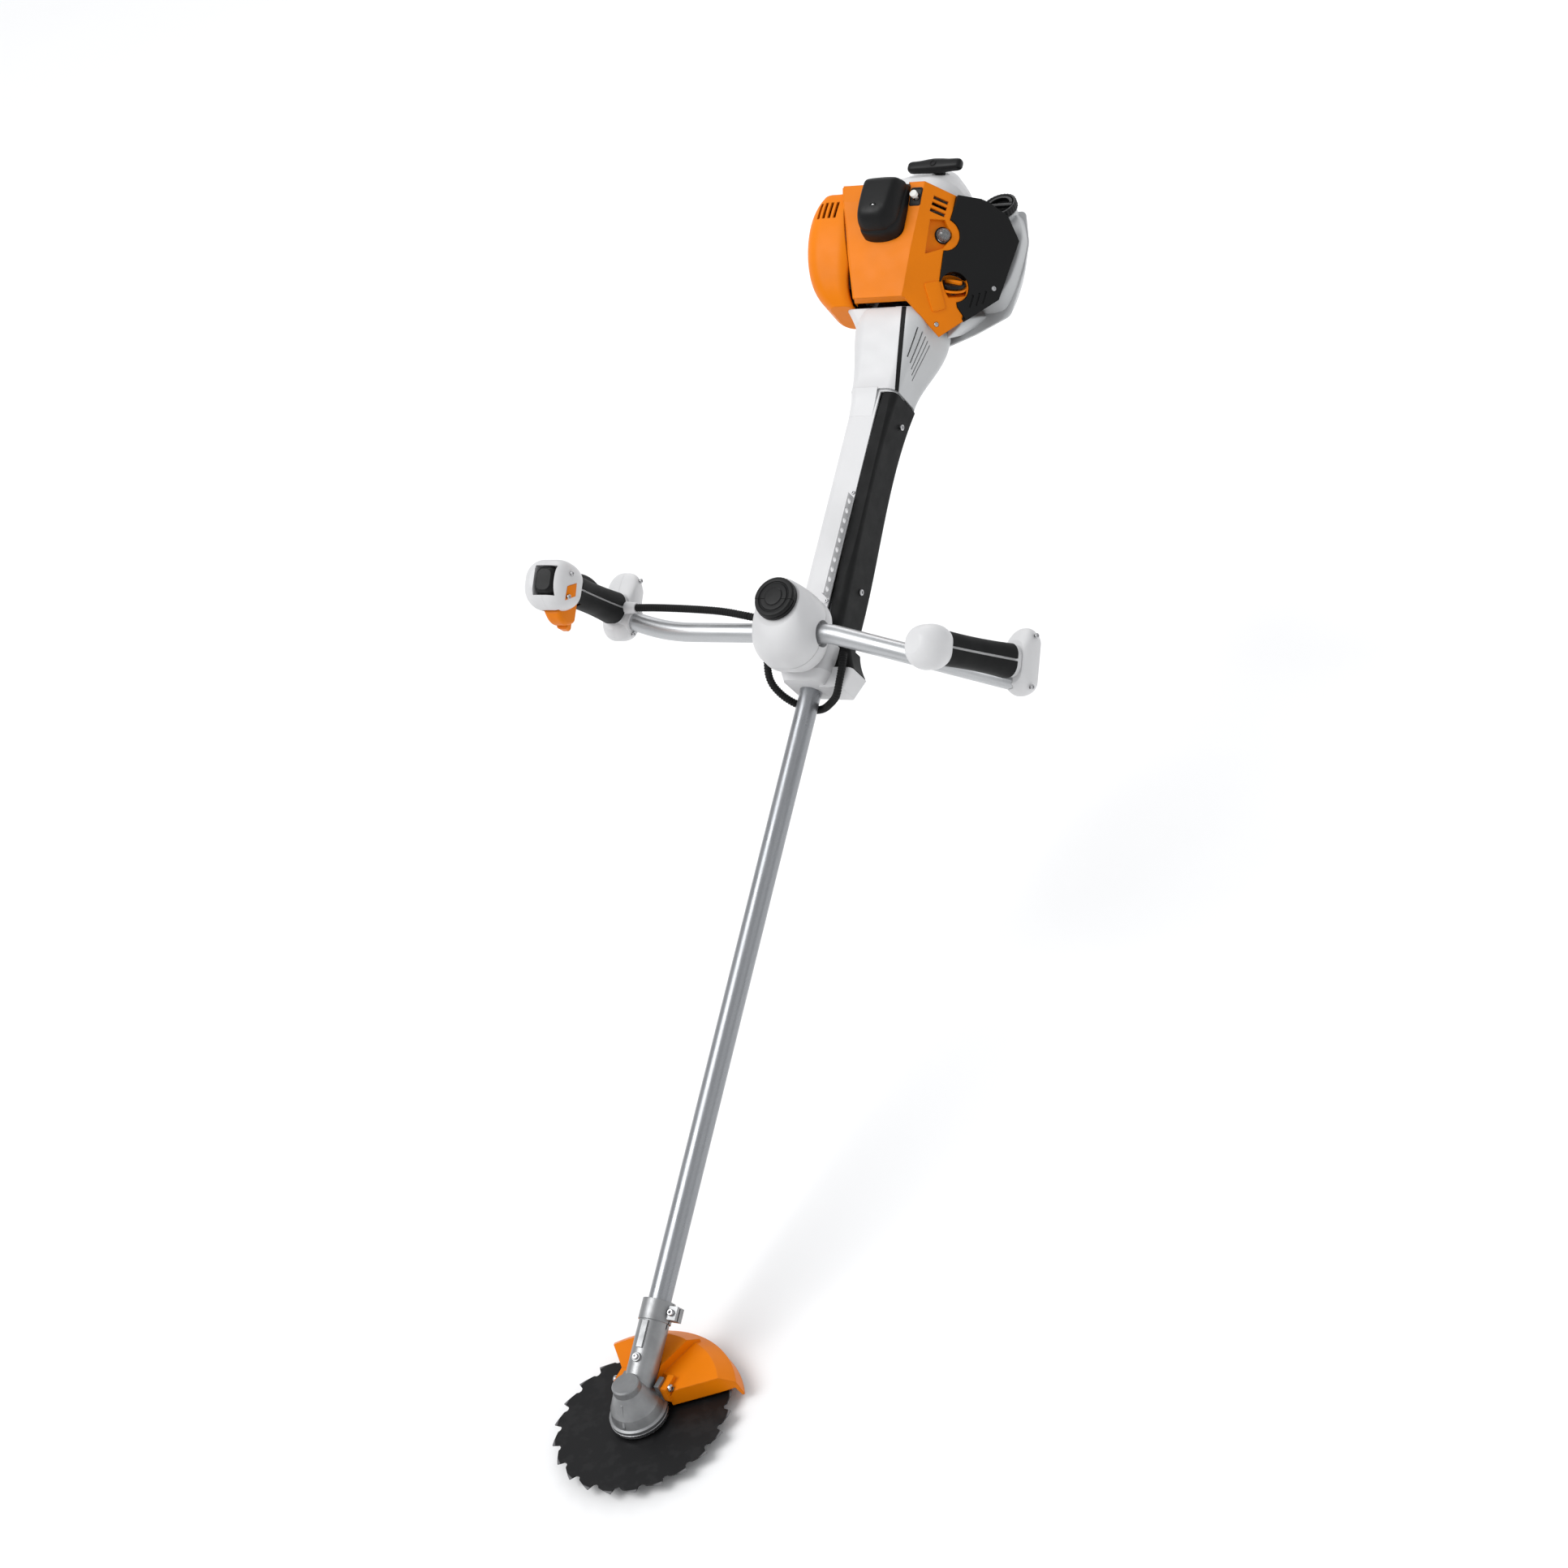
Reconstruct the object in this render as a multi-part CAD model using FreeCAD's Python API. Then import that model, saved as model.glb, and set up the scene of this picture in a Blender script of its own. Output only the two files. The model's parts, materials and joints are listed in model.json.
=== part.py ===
"""Petrol brush cutter with a bike handlebar and a chisel-tooth saw blade.

Two frames are used while modelling, both with their origin at the gear centre, where the drive shaft's axis
crosses the blade's axis. The head frame has +Z up the blade's axis, and the shaft leaves it towards +Y, rising.
The shaft frame has +Z along the shaft, from the blade to the engine, -Y on the machine's top side and +X on the
operator's left. Places in the shaft frame are written at(side, top, along). Every sub-part ends in the head
frame, and is then moved so that the carrying hole is the origin.
"""
import FreeCAD, Part
import math
import os

os.makedirs("parts", exist_ok=True)
V = FreeCAD.Vector
X_AXIS = V(1, 0, 0)
Z_AXIS = V(0, 0, 1)
GAP = 0.4
FIT = 0.06

# ---- driving dimensions, in millimetres and degrees ----
SPIN_TO_SHAFT_DEG = 62.0
TUBE_R = 14.0
TUBE_WALL = 2.0
TUBE_START = 50.0
TUBE_END = 1432.0
DRIVE_R = 4.0
BLADE_R = 112.5
BLADE_BORE_R = 10.0
BLADE_THICK = 1.8
BLADE_TOP = -26.6
BLADE_TEETH = 22
GEAR_TEETH = 19
PINION_TEETH = 14
CONE_LENGTH = 22.0
CONE_INNER = 14.0
FLANGE_R = 36.0
FLANGE_BOTTOM = -22.6
SLEEVE_R = 18.5
COLLAR_R = 20.0
BAR_R = 12.5
BAR_WALL = 2.0
BAR_TOP = 73.0
BAR_ALONG = 966.0
STUD_ALONG = 987.0
CLAMP_SIDE = 43.0
CLAMP_FLOOR = 44.0
CLAMP_ROOF = 124.0
KNOB_R = 28.0
FAIRING_START = 990.0
PAD_END = 1335.0
SEAM_SIDE = 13.0
STRIP_SIDE = 10.5
STRIP_PITCH = 14.0
STRIP_HOLES = 10
STRIP_HOLE_R = 4.0
STRIP_TOP = 39.5
STRIP_FIRST = 1045.0
HARNESS_HOLE = 4
CYLINDER_ALONG = 1540.0
CRANK_R = 7.5
FLYWHEEL_R = 46.0
GROOVE_R = 23.75
PULLEY_ALONG = 1658.0
GRIP_BAR = (25.5, 54.0, 1665.0)
BAR_REACH = 44.0
ROPE_R = 1.75
HOSE_R = 5.0

nodes = {}


# ---- places and simple solids ----
def at(side, top, along):
    """A point in the shaft frame."""
    return V(side, -top, along)


def cyl(radius, length, base, axis=Z_AXIS):
    return Part.makeCylinder(radius, length, base, axis)


def ring(outer, inner, length, base, axis=Z_AXIS):
    return cyl(outer, length, base, axis).cut(cyl(inner, length, base, axis))


def cone(r_start, r_end, length, base, axis=Z_AXIS):
    return Part.makeCone(r_start, r_end, length, base, axis)


def block(low, high):
    size = high - low
    return Part.makeBox(size.x, size.y, size.z, low)


def span(side, top, along):
    """A box in the shaft frame from three (low, high) pairs."""
    return block(V(side[0], -top[1], along[0]), V(side[1], -top[0], along[1]))


def rounded_wire(low_x, high_x, low_y, high_y, radius, z):
    """A rectangle with rounded corners in the plane at height z."""
    radius = min(radius, 0.49 * (high_x - low_x), 0.49 * (high_y - low_y))
    corners = [(high_x - radius, high_y - radius, 0), (low_x + radius, high_y - radius, 90),
               (low_x + radius, low_y + radius, 180), (high_x - radius, low_y + radius, 270)]
    edges = []
    points = []
    for cx, cy, start in corners:
        circle = Part.Circle(V(cx, cy, z), Z_AXIS, radius)
        arc = Part.ArcOfCircle(circle, math.radians(start), math.radians(start + 90))
        edges.append(arc.toShape())
        points.append((arc.StartPoint, arc.EndPoint))
    outline = []
    for index in range(4):
        outline.append(edges[index])
        gap_end = points[(index + 1) % 4][0]
        outline.append(Part.LineSegment(points[index][1], gap_end).toShape())
    return Part.Wire(Part.__sortEdges__(outline))


def loft(sections, ruled=False):
    """A closed loft through (z, (low_x, high_x), (low_y, high_y), corner radius) sections."""
    wires = [rounded_wire(xs[0], xs[1], ys[0], ys[1], radius, z) for z, xs, ys, radius in sections]
    return Part.makeLoft(wires, True, ruled)


def grown(sections, amount):
    """The same sections, offset outwards by amount (inwards if it is negative)."""
    return [(z, (xs[0] - amount, xs[1] + amount), (ys[0] - amount, ys[1] + amount), max(radius + amount, 1.0))
            for z, xs, ys, radius in sections]


def turned(points, angle=360):
    """A solid of revolution about Z from (radius, height) points."""
    outline = [V(r, 0, z) for r, z in points]
    face = Part.Face(Part.makePolygon(outline + [outline[0]]))
    return face.revolve(V(0, 0, 0), Z_AXIS, angle)


def prism(points, low_z, high_z):
    """A straight prism from (x, y) points."""
    outline = [V(x, y, low_z) for x, y in points]
    face = Part.Face(Part.makePolygon(outline + [outline[0]]))
    return face.extrude(V(0, 0, high_z - low_z))


def join(shapes):
    first = shapes[0]
    return first.fuse(shapes[1:]).removeSplitter() if len(shapes) > 1 else first


def group(shapes):
    return Part.makeCompound(shapes)


def placed(shape, x_dir, z_dir, origin):
    """Move a shape from its own frame to one with the given X and Z directions and origin."""
    z_unit = V(z_dir).normalize()
    y_unit = z_unit.cross(x_dir).normalize()
    x_unit = y_unit.cross(z_unit)
    matrix = FreeCAD.Matrix(x_unit.x, y_unit.x, z_unit.x, origin.x,
                            x_unit.y, y_unit.y, z_unit.y, origin.y,
                            x_unit.z, y_unit.z, z_unit.z, origin.z,
                            0, 0, 0, 1)
    moved = shape.copy()
    moved.Placement = FreeCAD.Placement(matrix).multiply(shape.Placement)
    return moved


def tilted(shape):
    """Turn a shape from the shaft frame into the head frame."""
    moved = shape.copy()
    moved.rotate(V(0, 0, 0), X_AXIS, -SPIN_TO_SHAFT_DEG)
    return moved


def pipe(points, radius, bend_radii):
    """A round bar along straight runs joined by tangent arcs."""
    edges = []
    start = points[0]
    for index in range(1, len(points) - 1):
        corner = points[index]
        before = (points[index - 1] - corner).normalize()
        after = (points[index + 1] - corner).normalize()
        turn = math.pi - before.getAngle(after)
        reach = bend_radii[index - 1] * math.tan(turn / 2)
        first = corner + before * reach
        last = corner + after * reach
        middle_dir = (before + after).normalize()
        sagitta = bend_radii[index - 1] / math.cos(turn / 2) - bend_radii[index - 1]
        edges.append(Part.LineSegment(start, first).toShape())
        edges.append(Part.Arc(first, corner + middle_dir * sagitta, last).toShape())
        start = last
    edges.append(Part.LineSegment(start, points[-1]).toShape())
    path = Part.Wire(edges)
    direction = (points[1] - points[0]).normalize()
    profile = Part.Wire(Part.Circle(points[0], direction, radius).toShape())
    return path.makePipeShell([profile], True, False)


def cap_screw(base, axis, head_r=4.5, head_h=5.0, shank_r=2.5, shank=16.0):
    """A socket-head screw whose head rises from base along axis."""
    unit = V(axis).normalize()
    head = cyl(head_r, head_h, base, unit)
    socket = cyl(head_r * 0.5, head_h * 0.6, base + unit * (head_h * 0.4), unit)
    return head.cut(socket).fuse(cyl(shank_r, shank, base - unit * shank, unit))


def largest(shape):
    return max(shape.Solids, key=lambda piece: piece.Volume)


def add_head(name, shape):
    nodes[name] = shape


def add_shaft(name, shape):
    nodes[name] = tilted(shape)


# ---- cutting head, in the head frame ----
def shaft_direction():
    tilt = math.radians(SPIN_TO_SHAFT_DEG)
    return V(0, math.sin(tilt), math.cos(tilt))


def pitch_angles():
    """Pitch cone angles of the pinion and the gear, whose axes meet at 180 degrees less the tilt."""
    between = math.radians(180 - SPIN_TO_SHAFT_DEG)
    ratio = GEAR_TEETH / PINION_TEETH
    pinion = math.atan2(math.sin(between), ratio + math.cos(between))
    return pinion, between - pinion


def tooth_wire(teeth, root, tip, height, first_tooth):
    """A star outline: straight-flanked teeth, thin enough to run with backlash."""
    pitch = 2 * math.pi / teeth
    points = []
    for index in range(teeth):
        centre = first_tooth + index * pitch
        for share, radius in ((-0.24, root), (-0.13, tip), (0.13, tip), (0.24, root)):
            angle = centre + share * pitch
            points.append(V(radius * math.cos(angle), radius * math.sin(angle), height))
    return Part.makePolygon(points + [points[0]])


def bevel_teeth(teeth, pitch_angle, first_tooth):
    """The toothed band of a bevel gear with its apex at the origin and its axis along +Z."""
    rise = math.radians(2.0)
    wires = []
    for length in (CONE_LENGTH, CONE_INNER):
        height = length * math.cos(pitch_angle)
        root = height * math.tan(pitch_angle - rise)
        tip = height * math.tan(pitch_angle + rise)
        wires.append(tooth_wire(teeth, root, tip, height, first_tooth))
    return Part.makeLoft(wires, True, True)


def gear_train():
    pinion_angle, gear_angle = pitch_angles()
    down = math.pi / 2
    teeth = bevel_teeth(PINION_TEETH, pinion_angle, down)
    back = CONE_LENGTH * math.cos(pinion_angle)
    journal = cyl(5.0, 42.0, V(0, 0, back - 0.5))
    add_shaft("drive_pinion", join([teeth, cyl(11.0, 4.0, V(0, 0, back - 0.5)), journal]))
    half_pitch = math.pi / GEAR_TEETH
    teeth = bevel_teeth(GEAR_TEETH, gear_angle, down + half_pitch)
    teeth = teeth.mirror(V(0, 0, 0), Z_AXIS)
    back = -CONE_LENGTH * math.cos(gear_angle)
    body = cyl(18.0, 7.0, V(0, 0, back - 7.0 + 0.2))
    add_head("output_gear", join([teeth, body]).cut(cyl(7.5, 30.0, V(0, 0, -20))))


def output_shaft():
    add_head("output_shaft", turned([(0, 30), (3.2, 30), (3.2, 10), (7.5, 3), (7.5, -24.4), (6, -24.4), (6, -41),
                                     (0, -41)]))


def head_bearings():
    direction = shaft_direction()
    upper = ring(13.0, 3.2 + FIT, 7.0, V(0, 0, 23.2))
    lower = ring(17.5, 7.5 + FIT, 9.0, V(0, 0, -24))
    pinion = [ring(13.0, 5.0 + FIT, 8.0, direction * start, direction) for start in (24.0, 34.0)]
    add_head("head_bearings", group([upper, lower] + pinion))


def gearbox_housing():
    direction = shaft_direction()
    bell = turned([(0, 34), (15.5, 34), (17, 32.5), (17.5, 24), (30, 0), (33, -12), (FLANGE_R, -13),
                   (FLANGE_R, FLANGE_BOTTOM), (0, FLANGE_BOTTOM)])
    sleeve = cyl(SLEEVE_R, 98.0, V(0, 0, 0), direction)
    collar = cyl(COLLAR_R, 25.0, direction * 97, direction)
    clamp_ear = tilted(span((17, 31), (-9, 6), (101, 118)))
    rib = tilted(span((-4, 4), (15, 20.5), (62, 95)))
    grease_boss = tilted(cyl(5.5, 21.5, at(0, 0, 50), at(0, 1, 0)))
    keel = block(V(-1.5, -33, -16), V(1.5, -10, 18)).common(turned([(0, 34), (17, 34), (19, 24), (36, -14), (0, -14)]))
    lugs = [block(V(side - 3, 18, -14), V(side + 3, 34, 12)) for side in (-25, 25)]
    solid = join([bell, sleeve, collar, clamp_ear, rib, grease_boss, keel] + lugs)
    cavity = turned([(0, 31), (13.02, 31), (13.02, 22.6), (15, 16), (25, -2), (26, -14.8), (17.52, -14.8),
                     (17.52, -30), (0, -30)])
    solid = solid.cut(cavity)
    solid = solid.cut(cyl(17.0, 24.0, V(0, 0, 0), direction).common(cyl(24, 60, V(0, 0, -17))))
    solid = solid.cut(cyl(13.02, 44.0, V(0, 0, 0), direction)).cut(cyl(6.0, 60.0, V(0, 0, 0), direction))
    solid = solid.cut(cyl(TUBE_R + 0.02, 90.0, direction * (TUBE_START - 2), direction))
    slit = tilted(span((10, 40), (-1.2, 1.2), (90, 130)))
    ear_hole = tilted(cyl(2.6, 40, at(24, 30, 109.5), at(0, -1, 0)))
    lug_holes = [cyl(2.6, 12, V(side - 6, 26, 4), X_AXIS) for side in (-25, 25)]
    for tool in [slit, ear_hole] + lug_holes:
        solid = solid.cut(tool)
    add_head("gearbox_housing", solid)


def saw_outline():
    """Each tooth: a steep face, a round gullet, and a back that rises to the next tip."""
    pitch = 360.0 / BLADE_TEETH
    shape = [(0.0, 0.0), (8.5, 1.6), (10.2, 3.4), (9.4, 5.2), (6.4, 6.4), (4.6, 9.5), (2.0, 13.2)]
    points = []
    for tooth in range(BLADE_TEETH):
        for depth, turn in shape:
            angle = math.radians(tooth * pitch + turn)
            points.append(((BLADE_R - depth) * math.cos(angle), (BLADE_R - depth) * math.sin(angle)))
    return points


def blade_stack():
    bottom = BLADE_TOP - BLADE_THICK
    blade = prism(saw_outline(), bottom, BLADE_TOP).cut(cyl(BLADE_BORE_R, 10, V(0, 0, bottom - 2)))
    add_head("saw_blade", blade)
    add_head("thrust_plate", turned([(7.5, -24.6), (27, -24.6), (28, -26.6), (9.9, -26.6), (9.9, bottom),
                                     (6.1, bottom), (6.1, -24.6)]))
    add_head("rider_plate", turned([(6.2, bottom), (33, bottom), (32, bottom - 3), (25, bottom - 14),
                                    (24, bottom - 15), (17, bottom - 15), (15, bottom - 4), (6.2, bottom - 4)]))
    hexagon = [(11 * math.cos(math.radians(60 * k)), 11 * math.sin(math.radians(60 * k))) for k in range(6)]
    nut = prism(hexagon, bottom - 13, bottom - 6.5)
    nut = join([nut, cyl(12.5, 2.6, V(0, 0, bottom - 6.6))]).cut(cyl(6.05, 30, V(0, 0, bottom - 20)))
    add_head("blade_nut", nut)


def blade_guard():
    """A cast stop behind the blade: a raised deck, radial webs and a rim that turns down round the teeth."""
    start_deg, end_deg = 30.0, 133.0
    deck = turned([(41, -21), (41, -8), (50, 2), (104, 2), (122, -12), (126, -34), (123, -34), (118.5, -20),
                   (100, -21)], end_deg - start_deg)
    deck.rotate(V(0, 0, 0), Z_AXIS, start_deg)
    pocket = turned([(47, -22), (47, -10), (53, -1.5), (102, -1.5), (117, -14), (117, -22)],
                    end_deg - start_deg - 8)
    pocket.rotate(V(0, 0, 0), Z_AXIS, start_deg + 4)
    tower = turned([(30, -20), (30, 14), (96, 14), (112, 0), (112, -20)], 40)
    tower.rotate(V(0, 0, 0), Z_AXIS, 71)
    tower_pocket = turned([(34, -22), (34, 10.5), (94, 10.5), (108, -1.5), (108, -22)], 34)
    tower_pocket.rotate(V(0, 0, 0), Z_AXIS, 74)
    ears = [block(V(low, 19, -13), V(low + 9, 42, 8)) for low in (28.2, -37.2)]
    bolt_holes = [cyl(2.6, 120, V(-60, 26, 4), X_AXIS)]
    solid = join([deck.cut(pocket), tower.cut(tower_pocket)] + ears).cut(pocket).cut(tower_pocket)
    clearance = [cyl(FLANGE_R + 0.5, 12, V(0, 0, -24)),
                 cyl(SLEEVE_R + 0.6, 130, V(0, 0, 0), shaft_direction()),
                 turned([(0, 36), (18.2, 36), (18.2, 24), (30.6, 0), (33.6, -12), (37, -13), (37, -24), (0, -24)])]
    lugs = [block(V(side - 3.2, 17, -15), V(side + 3.2, 34.4, 14)) for side in (-25, 25)]
    for tool in clearance + lugs + bolt_holes:
        solid = solid.cut(tool)
    solid = largest(solid)
    add_head("blade_guard", solid)


def housing_screws():
    """Screws that hold root parts, the same node for all of them, and the grease plug."""
    top_axis = at(0, 1, 0)
    screws = [tilted(cap_screw(at(24, 6, 109.5), top_axis, 4.2, 5, 2.5, 15)),
              tilted(cap_screw(at(0, 21.6, 50), top_axis, 3.6, 2.5, 2.5, 6))]
    for side in (-1, 1):
        screws.append(cap_screw(V(side * 37.3, 26, 4), V(side, 0, 0), 4.5, 4, 2.5, 14))
    screws.append(tilted(cap_screw(at(36.4, -2, 1300), at(1, 0, 0), 4.2, 2.5, 2.2, 10)))
    screws.append(tilted(cap_screw(at(36.4, -2, 1060), at(1, 0, 0), 4.2, 2.5, 2.2, 10)))
    screws.append(tilted(cap_screw(at(STRIP_SIDE, 31.8, 1031.5), at(0, 1, 0), 2.6, 2.0, 1.4, 5)))
    screws.append(tilted(cap_screw(at(STRIP_SIDE, 31.8, 1186.5), at(0, 1, 0), 2.6, 2.0, 1.4, 5)))
    add_head("housing_screws", group(screws))


def seat_screws(screw_node, held_nodes):
    """Cut the seats of a node's screws into the parts they hold."""
    for name in held_nodes:
        solid = nodes[name]
        for screw in nodes[screw_node].Solids:
            if solid.BoundBox.intersect(screw.BoundBox):
                solid = largest(solid.cut(screw))
        nodes[name] = solid


# ---- shaft and fairing, in the shaft frame ----
def shaft_parts():
    add_shaft("shaft_tube", ring(TUBE_R, TUBE_R - TUBE_WALL, TUBE_END - TUBE_START, at(0, 0, TUBE_START)))
    add_shaft("drive_shaft", cyl(DRIVE_R, 1436 - 57.2, at(0, 0, 57.2)))
    bush = ring(TUBE_R - TUBE_WALL - 0.02, DRIVE_R + FIT, 40, at(0, 0, 0))
    bushes = [bush.translated(at(0, 0, 180 + 285 * index)) for index in range(5)]
    add_shaft("shaft_bushes", group(bushes))


FAIRING = [(FAIRING_START, (-30, 31), (-30, 30), 11), (1060, (-31, 31), (-31, 31), 12),
           (1190, (-31, 31), (-31, 31), 12), (1337, (-31, 32), (-31, 31), 12),
           (1385, (-33, 33), (-33, 33), 12), (1425, (-44, 30), (-42, 36), 12),
           (1452, (-60, 24), (-50, 38), 10)]


def fairing_parts():
    outer = loft(FAIRING)
    inner = loft(grown(FAIRING, -2.6))
    ends = (FAIRING_START - 5, 1470)
    core = cyl(TUBE_R + 4, 600, at(0, 0, 960))
    shell = outer.cut(inner)
    right_low = span((SEAM_SIDE - GAP, 80), (-80, 80), (ends[0], PAD_END + 1.0))
    under = span((-80, 80), (-80, 0), (PAD_END + 1.0, ends[1])).common(
        span((20, 80), (-80, 80), (PAD_END + 1.0, ends[1])))
    shell = shell.cut(right_low).cut(under).cut(core)
    for tool in (cyl(39.5, 20, at(0, 0, 1443.5)), cyl(5.0, 60, at(0, 20, STUD_ALONG), at(0, 1, 0))):
        shell = shell.cut(tool)
    add_shaft("fairing_shell", largest(shell))
    pad = loft([(985, (12, 35), (-26, 32), 9), (1010, (12, 35.5), (-28, 33), 9),
                (1060, (12, 35.5), (-31.2, 33), 9), (PAD_END, (12, 36), (-31.2, 33), 9)])
    pad = pad.cut(loft(grown(FAIRING, -2.6))).cut(span((0, SEAM_SIDE), (-80, 80), (900, 1400)))
    pad = pad.cut(span((0, 31.4), (31.6, 80), (900, 1400))).cut(cyl(TUBE_R + 4, 600, at(0, 0, 960)))
    foot = span((14, 34), (-26, 24), (975, 992)).cut(cyl(TUBE_R + 2, 60, at(0, 0, 960)))
    add_shaft("hip_pad", join([pad, foot]))


def carrying_strip():
    last = STRIP_FIRST + STRIP_PITCH * (STRIP_HOLES - 1)
    fin = span((STRIP_SIDE - 1.5, STRIP_SIDE + 1.5), (31.2, 46), (STRIP_FIRST - 9, last + 9))
    feet = span((STRIP_SIDE - 3, STRIP_SIDE + 3), (31.2, 31.8 - 0.01), (STRIP_FIRST - 17, last + 17))
    solid = join([fin, feet])
    for index in range(STRIP_HOLES):
        along = STRIP_FIRST + STRIP_PITCH * index
        solid = solid.cut(cyl(STRIP_HOLE_R, 12, at(STRIP_SIDE - 6, STRIP_TOP, along), X_AXIS))
    add_shaft("carrying_strip", solid)


def lower_housing():
    """The handlebar support, clamped on the tube, with a foot under the buffer."""
    body = loft([(919, (-26, 30), (-34, 24), 10), (934, (-33, 38), (-40, 30), 12),
                 (972, (-34, 38), (-40, 30), 12), (984, (-30, 32), (-38, 28), 10)], ruled=True)
    pedestal = cyl(30, 24, at(0, 19.8, STUD_ALONG - 14), at(0, 1, 0))
    foot = loft([(917, (20, 56), (-20, 20), 6), (943, (20, 66), (-24, 22), 6)])
    solid = join([body, pedestal, foot])
    solid = solid.cut(cyl(TUBE_R + 0.02, 140, at(0, 0, 880)))
    solid = solid.cut(cyl(4.4, 40, at(0, 17, STUD_ALONG), at(0, 1, 0)))
    solid = solid.cut(span((-40, 40), (31, 50), (988, 1010)).cut(cyl(30.5, 60, at(0, 0, STUD_ALONG - 14),
                                                                    at(0, 1, 0))))
    above = span((-80, 80), (-60, 33.5), (985, 1100))
    pad_notch = span((13, 90), (-27, 25), (972.4, 1000))
    add_shaft("lower_housing", solid.cut(above).cut(pad_notch))


def suspension():
    """Rubber buffer under the hip pad, and the springs between the tube and the engine's housing."""
    buffer = loft([(944, (22, 66), (-20, 18), 5), (958, (20, 58), (-18, 16), 5), (974, (18, 52), (-18, 16), 5)])
    buffer = buffer.cut(span((-80, 38.5), (-60, 60), (900, 972.6)).cut(span((38, 80), (-60, 60), (900, 990))))
    buffer = buffer.cut(cyl(TUBE_R + 3, 100, at(0, 0, 900)))
    add_shaft("rubber_buffer", largest(buffer))
    springs = []
    for angle in (45, 135, 225, 315):
        centre = at(21 * math.cos(math.radians(angle)), 21 * math.sin(math.radians(angle)), 1352)
        helix = Part.makeHelix(4.0, 36.0, 4.0)
        profile = Part.Wire(Part.Circle(V(4.0, 0, 0), V(0, 1, 0), 0.8).toShape())
        spring = Part.Wire(helix.Edges).makePipeShell([profile], True, True)
        springs.append(spring.translated(centre))
    add_shaft("vibration_springs", group(springs))


# ---- handlebar clamp ----
def clamp_parts():
    side = CLAMP_SIDE
    base = placed(loft([(CLAMP_FLOOR, (-33, 33), (928, 1008), 28), (56, (-side, side), (920, 1016), 34),
                        (BAR_TOP - 0.25, (-side, side), (917, 1018), 36)]),
                  X_AXIS, at(0, 1, 0), V(0, 0, 0))
    cap = placed(loft([(BAR_TOP + 0.25, (-side, side), (917, 1018), 36), (96, (-side + 1, side - 1), (919, 1019), 36),
                       (114, (-36, 36), (930, 1019), 34), (CLAMP_ROOF, (-30, 30), (952, 1018), 29)]),
                 X_AXIS, at(0, 1, 0), V(0, 0, 0))
    bore = cyl(BAR_R + FIT, 140, at(-70, BAR_TOP, BAR_ALONG), X_AXIS)
    stud_hole = cyl(4.4, 140, at(0, 20, STUD_ALONG), at(0, 1, 0))
    flare = cyl(17, 20, at(side - 9, BAR_TOP, BAR_ALONG), X_AXIS)
    add_shaft("clamp_base", base.cut(bore).cut(stud_hole).cut(flare))
    add_shaft("clamp_cap", cap.cut(bore).cut(stud_hole).cut(flare))


def knob_parts():
    up = at(0, 1, 0)
    floor = CLAMP_ROOF + GAP
    disc = cyl(KNOB_R, 12, at(0, floor, STUD_ALONG), up)
    disc = disc.cut(cyl(12.4, 6, at(0, floor + 7, STUD_ALONG), up).fuse(
        span((-29, 29), (floor + 6, floor + 20), (STUD_ALONG - 29, STUD_ALONG - 3.0)).cut(
            cyl(9.0, 40, at(0, floor, STUD_ALONG), up))))
    stud = cyl(4.0, 100, at(0, floor - 99.5, STUD_ALONG), up)
    hub = cyl(8.6, 12, at(0, floor, STUD_ALONG), up)
    add_shaft("clamp_knob", join([disc, stud, hub]))
    wing = cyl(KNOB_R - 0.6, 5.5, at(0, floor + 6.4, STUD_ALONG), up)
    wing = wing.common(span((-29, 29), (floor, floor + 20), (STUD_ALONG - 29, STUD_ALONG - 3.4)))
    wing = wing.cut(cyl(10.0, 40, at(0, floor, STUD_ALONG), up))
    add_shaft("knob_bail", wing)


# ---- handlebar ----
BAR_LEFT = [at(-259, BAR_TOP, 984.4), at(-184.8, BAR_TOP, BAR_ALONG)]
BAR_RIGHT = [at(55.8, BAR_TOP, BAR_ALONG), at(336, BAR_TOP, 904.4)]


def handlebar_tube():
    points = BAR_LEFT + BAR_RIGHT
    bends = [285.0, 90.0]
    add_shaft("handlebar_tube", pipe(points, BAR_R, bends).cut(pipe(points, BAR_R - BAR_WALL, bends)))


CONTROL_ORIGIN = at(-268, 79, 993)
CONTROL_DIR = at(0.0, 0.978, -0.208)
CONTROL_HEAD = [(124, (-25, 24), (-26, 22), 16), (138, (-34, 30), (-34, 27), 22),
                (158, (-36, 30), (-35, 28), 24), (172, (-30, 25), (-26, 22), 20), (178, (-20, 17), (-16, 14), 14)]
CONTROL_CORE = [(8, (-17, 17), (-19, 19), 14), (40, (-15, 15), (-17, 17), 13), (90, (-15, 15), (-17, 17), 13),
                (125, (-17, 17), (-19, 18), 14)]


def on_control(shape):
    return placed(shape, X_AXIS, CONTROL_DIR, CONTROL_ORIGIN)


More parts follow.
